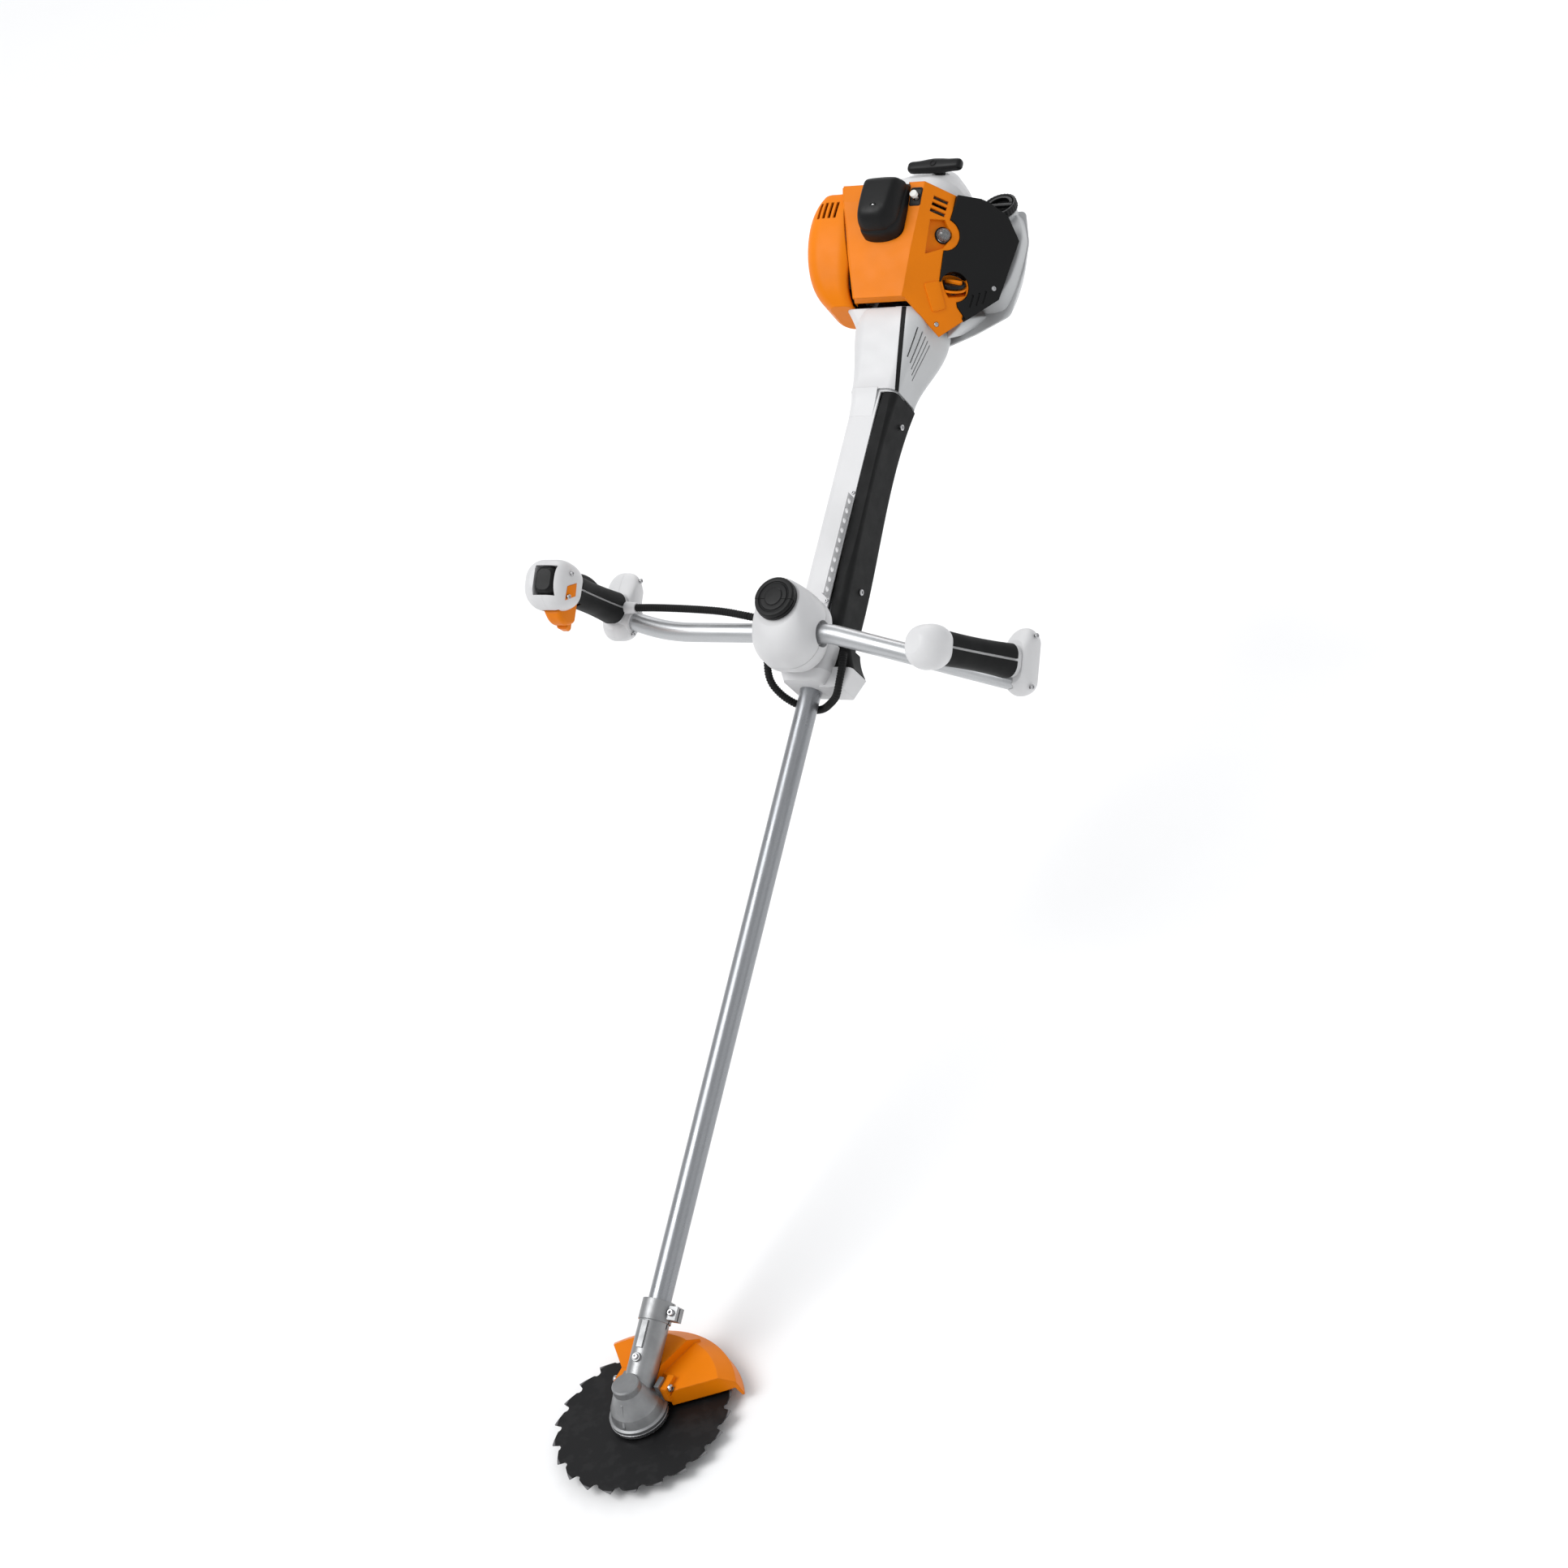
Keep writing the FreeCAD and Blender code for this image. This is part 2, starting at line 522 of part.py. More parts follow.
def control_handle():
    """Grip frame: +Z towards the thumb, +Y on the palm side, -Y on the finger side."""
    plate = loft([(-20, (-19, 19), (-34, 42), 14), (-4, (-22, 22), (-39, 52), 18), (9, (-18, 18), (-27, 24), 14)])
    body = on_control(join([loft(CONTROL_HEAD), loft(CONTROL_CORE), plate]))
    sleeve = cyl(16, 42, at(-243, BAR_TOP, 980.4), at(-0.970, 0, 0.242))
    body = body.fuse(sleeve)
    bar_room = pipe(BAR_LEFT + [at(0, BAR_TOP, BAR_ALONG)], BAR_R + 0.02, [285.0])
    trigger_room = on_control(block(V(-13, -70, 106), V(13, -5, 152)))
    lock_room = on_control(block(V(-6, 6, 62), V(6, 40, 112)))
    button_room = on_control(block(V(-13, -22, 161.5), V(18, 16, 190)))
    tools = [bar_room, trigger_room, lock_room, button_room]
    for tool in tools:
        body = body.cut(tool)
    split = on_control(block(V(0, -90, -60), V(90, 90, 220)))
    add_shaft("control_shell", largest(body.cut(split)))
    add_shaft("control_cover", largest(body.common(split)))
    core = loft(grown(CONTROL_CORE, 0.02))
    rubber = loft([(17, (-19.5, 19.5), (-21, 21), 16), (60, (-17.5, 17.5), (-19.5, 19.5), 15),
                   (115, (-19, 19), (-21, 20), 16)]).cut(core)
    spine = block(V(-40, -1.6, 0), V(40, 1.6, 200)).fuse(block(V(-7, 0, 60), V(7, 40, 130)))
    rubber = on_control(rubber.cut(spine)).cut(sleeve).cut(trigger_room)
    add_shaft("control_rubber", group(rubber.Solids))


def control_moving():
    finger = loft([(112, (-11, 11), (-44, -14), 5), (128, (-12, 12), (-50, -14), 6), (148, (-12, 12), (-40, -14), 6)])
    hook = loft([(112, (-7, 7), (-54, -38), 4), (122, (-8, 8), (-53, -36), 4)])
    pin = cyl(2.4, 22, V(-11, -20, 143), X_AXIS)
    add_shaft("throttle_trigger", on_control(join([finger, hook, pin])))
    lever = loft([(64, (-4.5, 4.5), (14, 21), 2.5), (86, (-5, 5), (14, 25), 2.5), (108, (-5, 5), (14, 23), 2.5)])
    add_shaft("trigger_lockout", on_control(lever))
    button = loft([(165.5, (-11.5, 16.5), (-20, 14.5), 9), (174, (-11.5, 16.5), (-20, 14.5), 9),
                   (179, (-8, 13), (-16, 11), 8)])
    add_shaft("stop_button", on_control(button))


LEFT_ORIGIN = at(330, 82, 926)
LEFT_DIR = at(-0.390, 0.885, -0.250)
LEFT_CORE = [(6, (-17, 17), (-19, 19), 14), (60, (-15, 15), (-17, 17), 13), (122, (-16, 16), (-18, 18), 14)]


def on_left(shape):
    return placed(shape, X_AXIS, LEFT_DIR, LEFT_ORIGIN)


def left_handle():
    """The plain handle: the same grip frame as the control handle."""
    head = loft([(118, (-20, 20), (-22, 20), 16), (134, (-27, 26), (-29, 25), 22), (150, (-25, 23), (-26, 22), 20),
                 (162, (-14, 12), (-14, 12), 12)])
    plate = loft([(-22, (-20, 13), (-34, 38), 14), (-6, (-21, 19), (-39, 43), 18), (9, (-18, 18), (-26, 26), 14)])
    body = on_left(join([head, loft(LEFT_CORE), plate]))
    bar_room = pipe([at(0, BAR_TOP, BAR_ALONG)] + BAR_RIGHT, BAR_R + 0.02, [90.0])
    body = body.cut(bar_room)
    add_shaft("left_shell", largest(body))
    rubber = loft([(17, (-19.5, 19.5), (-21, 21), 16), (60, (-17.5, 17.5), (-19.5, 19.5), 15),
                   (117, (-19, 19), (-21, 20.5), 16)]).cut(loft(grown(LEFT_CORE, 0.02)))
    rubber = on_left(rubber.cut(block(V(-40, -1.6, 0), V(40, 1.6, 200))))
    add_shaft("left_rubber", group(rubber.Solids))


def handle_screws():
    screws = [on_control(cap_screw(V(30.5, y, z), X_AXIS, 3.2, 1.5, 1.8, 8)) for y, z in ((-20, 158), (10, 158))]
    screws += [on_control(cap_screw(V(22.4, y, -6), X_AXIS, 3.2, 1.5, 1.8, 8)) for y in (-29, 42)]
    screws += [on_left(cap_screw(V(20.4, y, -8), X_AXIS, 3.2, 1.5, 1.8, 8)) for y in (-29, 33)]
    add_shaft("handle_screws", group(screws))


UPPER_HOSE = [at(-238, 93, 991), at(-200, 96, 990), at(-150, 95, 989), at(-100, 93, 987), at(-62, 89, 982)]
LOWER_HOSE = [at(-61.6, 88.9, 981.9), at(-51, 87.7, 980.5), at(-50, 68, 989), at(-50, 50, 975), at(-50, 44, 948),
              at(-46, 30, 918), at(-31, 6, 905), at(-9, -25, 903), at(14, -18, 902), at(36, 2, 904),
              at(52, 20, 905), at(57, 30, 918), at(56, 30, 940), at(52, 28, 960)]


def corner_radii(points):
    radii = []
    for index in range(1, len(points) - 1):
        before = points[index - 1] - points[index]
        after = points[index + 1] - points[index]
        turn = math.pi - before.getAngle(after)
        radii.append(0.45 * min(before.Length, after.Length) / math.tan(turn / 2))
    return radii


def control_hoses():
    add_shaft("control_hose_upper", pipe(UPPER_HOSE, HOSE_R, corner_radii(UPPER_HOSE)))
    add_shaft("control_hose_lower", pipe(LOWER_HOSE, HOSE_R, corner_radii(LOWER_HOSE)))


# ---- engine, in the shaft frame ----
def clutch_and_crank():
    hub = cyl(9, 10, at(0, 0, 1436))
    drum = cyl(38, 26, at(0, 0, 1446)).cut(cyl(35.6, 24, at(0, 0, 1449)))
    add_shaft("clutch_drum", join([hub, drum]))
    shoes = []
    for start in (10, 190):
        shoe = turned([(14, 1452), (33.5, 1452), (33.5, 1468), (14, 1468)], 160)
        shoe.rotate(V(0, 0, 0), Z_AXIS, start)
        shoes.append(shoe)
    shoes.append(ring(13, CRANK_R + 0.02, 14, at(0, 0, 1453)))
    shaft = cyl(CRANK_R, 176, at(0, 0, 1450))
    webs = [cyl(26, 9, at(0, 0, along)) for along in (1520, 1551)]
    pin = cyl(6, 30, at(0, 15, 1525))
    gap = cyl(CRANK_R + 1, 22, at(0, 0, 1529))
    crank = join([join([shaft] + webs).cut(gap), pin])
    add_shaft("crankshaft_and_clutch", group([crank] + shoes))
    wheel = cyl(FLYWHEEL_R - 14, 7, at(0, 0, 1600))
    blades = []
    for index in range(16):
        blade = block(V(16, -1.2, 1606), V(FLYWHEEL_R, 1.2, 1621))
        blade.rotate(V(0, 0, 0), Z_AXIS, index * 22.5)
        blades.append(blade)
    rim = cyl(FLYWHEEL_R, 2.4, at(0, 0, 1604.6))
    add_shaft("flywheel_fan", join([wheel, rim] + blades).cut(cyl(CRANK_R + 0.02, 60, at(0, 0, 1590))))


FUNNEL = [(1339, (-35, 35), (-33, 35), 14), (1370, (-38, 40), (-36, 40), 16),
          (1412, (-45, 52), (-46, 52), 22), (1452, (-47, 58), (-50, 54), 26)]


def crankcase_parts():
    funnel = loft(FUNNEL)
    inner = loft([(1338, (-31, 31), (-29, 31), 12), (1370, (-34, 36), (-32, 36), 14),
                  (1412, (-41, 48), (-42, 48), 20), (1453, (-43, 54), (-46, 50), 24)])
    funnel = funnel.cut(inner).cut(loft(grown(FAIRING, 0.7)))
    funnel = largest(funnel)
    for index in range(5):
        slot = block(V(30, -0.9, 1366 + 5 * index), V(90, 0.9, 1418 + 2 * index))
        slot.rotate(V(0, 0, 0), Z_AXIS, -6 - 8 * index)
        funnel = funnel.cut(slot)
    bell = ring(46, 41, 22, at(0, 0, 1453)).cut(span((-80, 80), (-80, 80), (1400, 1453)))
    add_shaft("clutch_housing", join([funnel, bell, ring(46, TUBE_R + 0.02, 4, at(0, 0, 1424)).cut(
        loft(grown(FAIRING, 0.7)))]).Solids[0])
    case = loft([(1476, (-46, 46), (-44, 44), 20), (1500, (-50, 50), (-48, 48), 14), (1572, (-50, 50), (-48, 48), 14),
                 (1592, (-46, 46), (-44, 44), 20)], ruled=True)
    chamber = cyl(29, 56, at(0, 0, 1512))
    mouth = cyl(24, 60, at(0, 0, CYLINDER_ALONG), at(0, 1, 0))
    solid = case.cut(chamber).cut(mouth).cut(cyl(CRANK_R + FIT, 200, at(0, 0, 1450)))
    add_shaft("crankcase", solid)


def cylinder_parts():
    up = at(0, 1, 0)
    barrel = cyl(29, 26.4, at(0, 48.2, CYLINDER_ALONG), up)
    head = cyl(14, 16, at(-6, 75, CYLINDER_ALONG + 12), up)
    fins = []
    for index in range(6):
        low = 52 + 4.4 * index
        half = 40 if index < 3 else 46 - 4 * index
        fins.append(span((-half, half), (low, low + 1.6), (CYLINDER_ALONG - half, CYLINDER_ALONG + half)))
    solid = join([barrel, head] + fins).cut(cyl(24, 24, at(0, 47, CYLINDER_ALONG), up))
    solid = solid.cut(cyl(4.92, 60, at(-6, 70, CYLINDER_ALONG + 12), up))
    add_shaft("cylinder", solid)
    plug_base = at(-6, 91.2, CYLINDER_ALONG + 12)
    plug = join([cyl(4.9, 12, at(-6, 80, CYLINDER_ALONG + 12), up), cyl(8, 6, plug_base, up),
                 cyl(5, 14, plug_base, up), cyl(2.5, 20, plug_base, up)])
    add_shaft("spark_plug", plug)
    boot = placed(loft([(99, (-35, 19), (1541, 1600), 16), (112, (-35, 21), (1536, 1605), 16),
                        (122, (-32, 18), (1545, 1606), 14), (127, (-28, 13), (1556, 1600), 12)]),
                  X_AXIS, up, V(0, 0, 0))
    boot = boot.cut(cyl(9, 17, at(-6, 96, CYLINDER_ALONG + 12), up))
    add_shaft("spark_plug_cap", boot.cut(cyl(4, 9, at(-8, 120, 1562), up)))


def exhaust_parts():
    can = loft([(1486, (-98, -60), (-50, 10), 16), (1500, (-108, -54), (-56, 16), 18),
                (1582, (-112, -54), (-58, 18), 18), (1594, (-106, -60), (-54, 12), 16)], ruled=True)
    flange = span((-74, -40.6), (49, 55), (1525, 1555))
    outlet = cyl(8, 16, at(-80, 10, 1472), at(0, 0, 1))
    add_shaft("muffler", join([can, flange, outlet]))
    outer = [(1452, (-84, -46.8), (-58, 0), 14), (1476, (-110, -46.8), (-74, 20), 22),
             (1530, (-129, -46.8), (-90, 32), 28), (1584, (-130, -46.8), (-94, 34), 28),
             (1607, (-122, -46.8), (-90, 30), 24)]
    shell = loft(outer)
    hollow = loft([(z + (3 if z < 1470 else -3 if z > 1600 else 0), (xs[0] + 3, xs[1] + 3.2),
                    (ys[0] + 3, ys[1] - 3), radius) for z, xs, ys, radius in outer])
    shell = shell.cut(hollow)
    for index in range(4):
        side = -110 + 8.4 * index
        lean = 7.0
        low = 1512 + 7 * index
        upper = span((side - 2, side + 2), (56, 120), (1568, 1593))
        lower = loft([(low, (side - 2 + lean, side + 2 + lean), (56, 120), 1.5),
                      (1562, (side - 2, side + 2), (56, 120), 1.5)])
        shell = shell.cut(upper).cut(lower)
    seam = facet_loft([(along, [(side - 0.8 if side < -40 else side, top + (0.0 if top > 60 else -0.8))
                                for side, top in points]) for along, points in SHROUD])
    above = facet_loft([(1430, [(-38, 50), (-38, 160), (60, 160), (60, 50)]),
                        (1455.5, [(-43.8, 50), (-43.8, 160), (60, 160), (60, 50)]),
                        (1614, [(-80.8, 97), (-80.8, 160), (60, 160), (60, 97)])])
    add_shaft("muffler_guard", largest(shell.cut(seam).cut(above)))


def facet_wire(along, points):
    """A polygon in the plane at along, from (side, top) points."""
    outline = [at(side, top, along) for side, top in points]
    return Part.makePolygon(outline + [outline[0]])


def facet_loft(sections):
    return Part.makeLoft([facet_wire(along, points) for along, points in sections], True, True)


SHROUD = [(1455.5, [(-43, 12), (-43, 58), (-38, 70), (34, 70), (88, 2), (88, -16), (50, -16), (50, 12)]),
          (1520, [(-46, 12), (-46, 58), (-56, 83), (37, 82), (98, 6), (98, -20), (50, -20), (50, 12)]),
          (1590, [(-46, 12), (-46, 58), (-75, 96), (42, 93), (103, 16), (103, -20), (50, -20), (50, 12)]),
          (1614, [(-46, 12), (-46, 58), (-80, 98), (42, 95), (100, 14), (100, -20), (50, -20), (50, 12)])]
# The right facet has its own frame: x runs down its slope, y along the machine, z outwards.
FACET_ORIGIN = at(34, 70, 1455)
FACET_DOWN = at(0.622, -0.783, 0)
FACET_NORMAL = at(0.774, 0.615, -0.151)
COVER_CORNERS = [(34, 160), (34, 102), (44, 40), (66, 40), (78, 16), (95, 4), (130, 48), (134, 135), (109, 161),
                 (78, 168), (66, 168)]
PURGE_CENTRE = (32, 102)
CHOKE_CENTRE = (66, 40)
COVER_BITES = [(PURGE_CENTRE, 22.0), (CHOKE_CENTRE, 20.5)]
CHIN_CORNERS = [(-1, 3), (66, -31), (91, 1), (78, 13), (60, 30), (2, 30)]
PURGE_RECESS = [(7, 114), (14, 67), (36, 84), (43, 103), (27, 121)]
RECESS_FLOOR = -6.6


def on_facet(shape):
    return placed(shape, FACET_DOWN, FACET_NORMAL, FACET_ORIGIN)


def facet_prism(points, low, high, amount=0.0):
    """A prism square to the facet, with every edge of its outline moved outwards by amount."""
    face = Part.Face(Part.makePolygon([V(x, y, low) for x, y in points + [points[0]]]))
    if amount:
        face = face.makeOffset2D(amount, 2)
    return on_facet(face.extrude(V(0, 0, high - low)))


def cover_prism(low, high, amount=0.0):
    """The filter cover's outline, whose inner edge curves around the purge bulb and the choke."""
    shape = facet_prism(COVER_CORNERS, low, high, amount)
    for (x, y), radius in COVER_BITES:
        shape = shape.cut(on_facet(cyl(radius - amount, high - low + 2, V(x, y, low - 1))))
    return shape


def shrunk_facets(sections, amount):
    """The same facets moved inwards, and open below."""
    result = []
    for along, points in sections:
        moved = []
        for side, top in points:
            share = -1.0 if side < -40 else 0.35 if side < 45 else 1.0
            moved.append((side - amount * share, top - amount))
        result.append((along, moved))
    return result


BULB_BASE = at(60.5, 50.2, 1557)
CHOKE_BASE = at(76, 19, 1498)
CHOKE_DIR = at(0.24, 0.71, 0.67).normalize()


def engine_shroud():
    outer = facet_loft(SHROUD)
    inner = facet_loft(shrunk_facets(SHROUD, 3.2)).translated(at(0, 0, 3.2))
    shell = outer.cut(inner).cut(span((40, 120), (-60, 0), (1400, 1650)))
    above_facet = on_facet(block(V(-90, -90, 0), V(200, 250, 60)))
    choke_cup = cyl(20.0, 44, CHOKE_BASE - CHOKE_DIR * 13, CHOKE_DIR).cut(above_facet)
    purge_cup = facet_prism(PURGE_RECESS, RECESS_FLOOR - 2.4, -1, 2.4)
    shell = join([shell, facet_prism(CHIN_CORNERS, -3.2, 0), purge_cup, choke_cup])
    plug_opening = placed(loft([(70, (-37, 23), (1534, 1607), 16), (140, (-37, 23), (1534, 1640), 16)]),
                          X_AXIS, at(0, 1, 0), V(0, 0, 0))
    tools = [span((-60, 45.5), (-40, 49.5), (1400, 1650)),
             span((-42.8, 40.6), (49, 57), (1400, 1650)),
             loft(grown(FUNNEL, 0.5)),
             cover_prism(-60, 20, 0.6),
             facet_prism(PURGE_RECESS, RECESS_FLOOR, 20),
             plug_opening,
             span((-60, -40), (46, 57.9), (1520, 1560)),
             cyl(5.4, 60, at(33, 70, 1592), at(0, 1, 0)),
             cyl(10.4, 60, BULB_BASE - FACET_NORMAL * 30, FACET_NORMAL),
             cyl(17.2, 60, CHOKE_BASE - CHOKE_DIR * 10.5, CHOKE_DIR),
             cyl(5.4, 20, CHOKE_BASE - CHOKE_DIR * 24, CHOKE_DIR),
             on_facet(cyl(3.4, 4, V(57, -17, -1.4)))]
    for index in range(3):
        tools.append(on_facet(block(V(3, 124 + 9 * index, -8), V(25, 129 + 9 * index, 8))))
    for tool in tools:
        shell = shell.cut(tool)
    add_shaft("engine_shroud", largest(shell))


def small_controls():
    up = at(0, 1, 0)
    add_shaft("decompression_button", join([cyl(5.0, 5, at(33, 97, 1592), up), cyl(2.5, 10, at(33, 88, 1592), up)]))
    bulb = join([cyl(9.6, 5, BULB_BASE, FACET_NORMAL), Part.makeSphere(9.0, BULB_BASE + FACET_NORMAL * 5)])
    bulb = bulb.common(cyl(12, 20, BULB_BASE, FACET_NORMAL))
    add_shaft("purge_bulb", bulb)
    dial = join([cyl(15.5, 5, CHOKE_BASE, CHOKE_DIR), cyl(5, 10, CHOKE_BASE - CHOKE_DIR * 9, CHOKE_DIR)])
    handle = placed(block(V(-12, -2.6, 4.8), V(12, 2.6, 9.5)), X_AXIS, CHOKE_DIR, CHOKE_BASE)
    add_shaft("choke_knob", join([dial, handle]))


def intake_parts():
    body = span((51, 66), (-6, 16), (1518, 1546))
    add_shaft("carburettor", body.cut(cyl(8, 40, at(45, 5, 1532), X_AXIS)))
    add_shaft("air_filter", on_facet(block(V(72, 64.5, -17), V(106, 128, -5))))
    shallow = cover_prism(-10, 1.2).cut(cover_prism(-11, -1.6, -2.6))
    deep = cover_prism(-28, 1.2).cut(cover_prism(-29, -1.6, -2.6)).common(span((99, 200), (-200, 200), (1400, 1700)))
    cover = join([shallow, deep]).cut(span((0, 200), (-90, -30.5), (1400, 1700)))
    cover = cover.cut(on_facet(cyl(4.0, 3, V(119, 60, -0.4))))
    for index in range(3):
        low_x = 92 + 8 * index
        low_y = 22 + 6 * index
        cover = cover.cut(on_facet(block(V(low_x, low_y, -0.4), V(low_x + 3, low_y + 18, 3))))
    add_shaft("filter_cover", largest(cover))


CAP_BASE = at(92, -27, 1642)
CAP_DIR = at(0.0, 0.935, 0.355)
TANK_TOP = [(-95, 1474), (46, 1448), (86, 1466), (130, 1492), (135, 1560), (132, 1604), (116, 1654), (66, 1654),
            (62, 1640), (-95, 1640)]
TANK_FLOOR = [(-80, 1508), (24, 1488), (66, 1498), (106, 1520), (112, 1560), (111, 1598), (94, 1632), (66, 1632),
              (60, 1630), (-80, 1630)]
TANK_SIDE = [(88, 1502), (116, 1508), (129, 1536), (133, 1570), (132, 1604), (116, 1640), (88, 1640)]
TANK_SIDE_FOOT = [(84, 1492), (124, 1496), (131, 1530), (133, 1566), (132, 1604), (116, 1646), (84, 1646)]


def level_loft(sections):
    """A ruled loft between polygons that lie level with the top face: (top, (side, along) points)."""
    wires = []
    for top, points in sections:
        outline = [at(side, top, along) for side, along in points]
        wires.append(Part.makePolygon(outline + [outline[0]]))
    return Part.makeLoft(wires, True, True)


def inset(points, amount):
    """The polygon's points moved towards its middle by about amount."""
    middle_side = sum(point[0] for point in points) / len(points)
    middle_along = sum(point[1] for point in points) / len(points)
    moved = []
    for side, along in points:
        reach = math.hypot(side - middle_side, along - middle_along)
        share = (reach - 1.3 * amount) / reach
        moved.append((middle_side + (side - middle_side) * share, middle_along + (along - middle_along) * share))
    return moved


def tank_parts():
    floor = level_loft([(-49.5, TANK_TOP), (-98, TANK_FLOOR)])
    side = level_loft([(-31.5, TANK_SIDE), (-52, TANK_SIDE_FOOT)])
    neck = cyl(21, 26, CAP_BASE - CAP_DIR * 26, CAP_DIR)
    front = level_loft([(-12, [(64, 1434), (83, 1456), (83, 1470), (62, 1474)]),
                        (-53, [(62, 1464), (84, 1478), (100, 1496), (62, 1496)])])
    solid = join([floor, side, neck, front]).cut(span((-60, 72), (-57, -40), (1400, 1454.5)))
    room = level_loft([(-53, inset(TANK_TOP, 4)), (-94, inset(TANK_FLOOR, 4))])
    solid = solid.cut(room).cut(cyl(16.2, 50, CAP_BASE - CAP_DIR * 40, CAP_DIR))
    add_shaft("fuel_tank", largest(solid))
    cap = join([cyl(24.5, 10, CAP_BASE + CAP_DIR * GAP, CAP_DIR), cyl(15.8, 18, CAP_BASE - CAP_DIR * 17, CAP_DIR)])
    recess = cyl(20.0, 8, CAP_BASE + CAP_DIR * 5, CAP_DIR)
    web = placed(block(V(-20, -3, 5), V(20, 3, 10)), X_AXIS, CAP_DIR, CAP_BASE)
    add_shaft("fuel_cap", join([cap.cut(recess), web]))
    half_ring = cyl(19.0, 4, V(0, 0, 6)).cut(cyl(15.0, 4, V(0, 0, 6))).common(block(V(-20, 4.5, 0), V(20, 30, 20)))
    add_shaft("fuel_cap_bail", placed(half_ring, X_AXIS, CAP_DIR, CAP_BASE))


# ---- starter ----
def starter_parts():
    bar = at(*GRIP_BAR)
    direction = at(0, 1, 0)
    housing = loft([(1616.5, (-58, 60), (-88, 48), 38), (1640, (-54, 58), (-66, 48), 38),
                    (1655, (-46, 52), (-48, 47), 32), (1668, (-36, 44), (-35, 40), 26),
                    (1678, (-28, 36), (-27, 34), 20)], ruled=True)
    wheel_room = cyl(FLYWHEEL_R + 2.5, 17, at(0, 0, 1615.5))
    pulley_room = cyl(GROOVE_R + 5, 43, at(0, 0, 1631))
    outlet = cone(11, 8, 17, bar - direction * 42, direction)
    stem_room = cyl(10.5, 40, bar - direction * 24.5, direction)
    solid = join([housing, outlet]).cut(wheel_room).cut(pulley_room).cut(stem_room)
    rope_way = cyl(ROPE_R + 1.0, 80, bar - direction * 70, direction)
    solid = join([solid.cut(rope_way), cyl(6.0, 22, at(0, 0, PULLEY_ALONG - 4))])
    for index in range(7):
        angle = math.radians(20 + 36 * index)
        vent = cyl(3.5, 40, at(18 * math.cos(angle), 18 * math.sin(angle), 1670))
        solid = solid.cut(vent)
    add_shaft("starter_housing", largest(solid))
    rim = GROOVE_R + 3.5
    profile = [(6 + FIT, 0), (rim, 0), (rim, 2), (GROOVE_R, 3.5), (GROOVE_R, 10.5), (rim, 12), (rim, 14), (6 + FIT, 14)]
    add_shaft("rope_pulley", turned(profile).translated(at(0, 0, PULLEY_ALONG)))
    rope_start = bar - direction * (BAR_REACH - 1)
    add_shaft("starter_rope", cyl(ROPE_R, BAR_REACH - 12, rope_start, direction))
    handle = placed(loft([(-40, (-7, 7), (-8, 8), 5), (0, (-8, 8), (-10, 9), 6), (40, (-7, 7), (-8, 8), 5)]),
                    direction, X_AXIS, bar)
    stem = cone(6, 8, 16, bar - direction * 20, direction)
    grip = join([handle, stem]).cut(cyl(ROPE_R + 0.02, 9.0, bar - direction * 20, direction))
    add_shaft("starter_grip", grip)


def main():
    gear_train()
    output_shaft()
    head_bearings()
    gearbox_housing()
    blade_stack()
    blade_guard()
    housing_screws()
    shaft_parts()
    fairing_parts()
    carrying_strip()
    lower_housing()
    suspension()
    clamp_parts()
    knob_parts()
    handlebar_tube()
    control_handle()
    control_moving()
    left_handle()
    handle_screws()
    control_hoses()
    clutch_and_crank()
    crankcase_parts()
    cylinder_parts()
    exhaust_parts()
    engine_shroud()
    small_controls()
    intake_parts()
    tank_parts()
    starter_parts()
    seat_screws("housing_screws", ["gearbox_housing", "blade_guard", "hip_pad", "fairing_shell", "carrying_strip"])
    seat_screws("handle_screws", ["control_cover", "left_shell"])
    harness = tilted(Part.Vertex(at(STRIP_SIDE, STRIP_TOP, STRIP_FIRST + STRIP_PITCH * HARNESS_HOLE))).Point
    print("origin from the gear centre", harness)
    for name, shape in sorted(nodes.items()):
        moved = shape.translated(V(0, 0, 0) - harness)
        moved.exportStep("parts/%s.step" % name)
        print(name, len(moved.Solids), round(moved.Volume), moved.isValid())
    print(len(nodes), "nodes")


main()
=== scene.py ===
"""Looks of the brush cutter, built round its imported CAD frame.

Lengths are in millimetres in the CAD's own shaft frame, side, top and along, measured from the gear centre.
place() turns them into metres in the row frame. The row frame's origin is the carrying hole.
"""
import json
import math

import bmesh
import bpy
from mathutils import Matrix, Vector


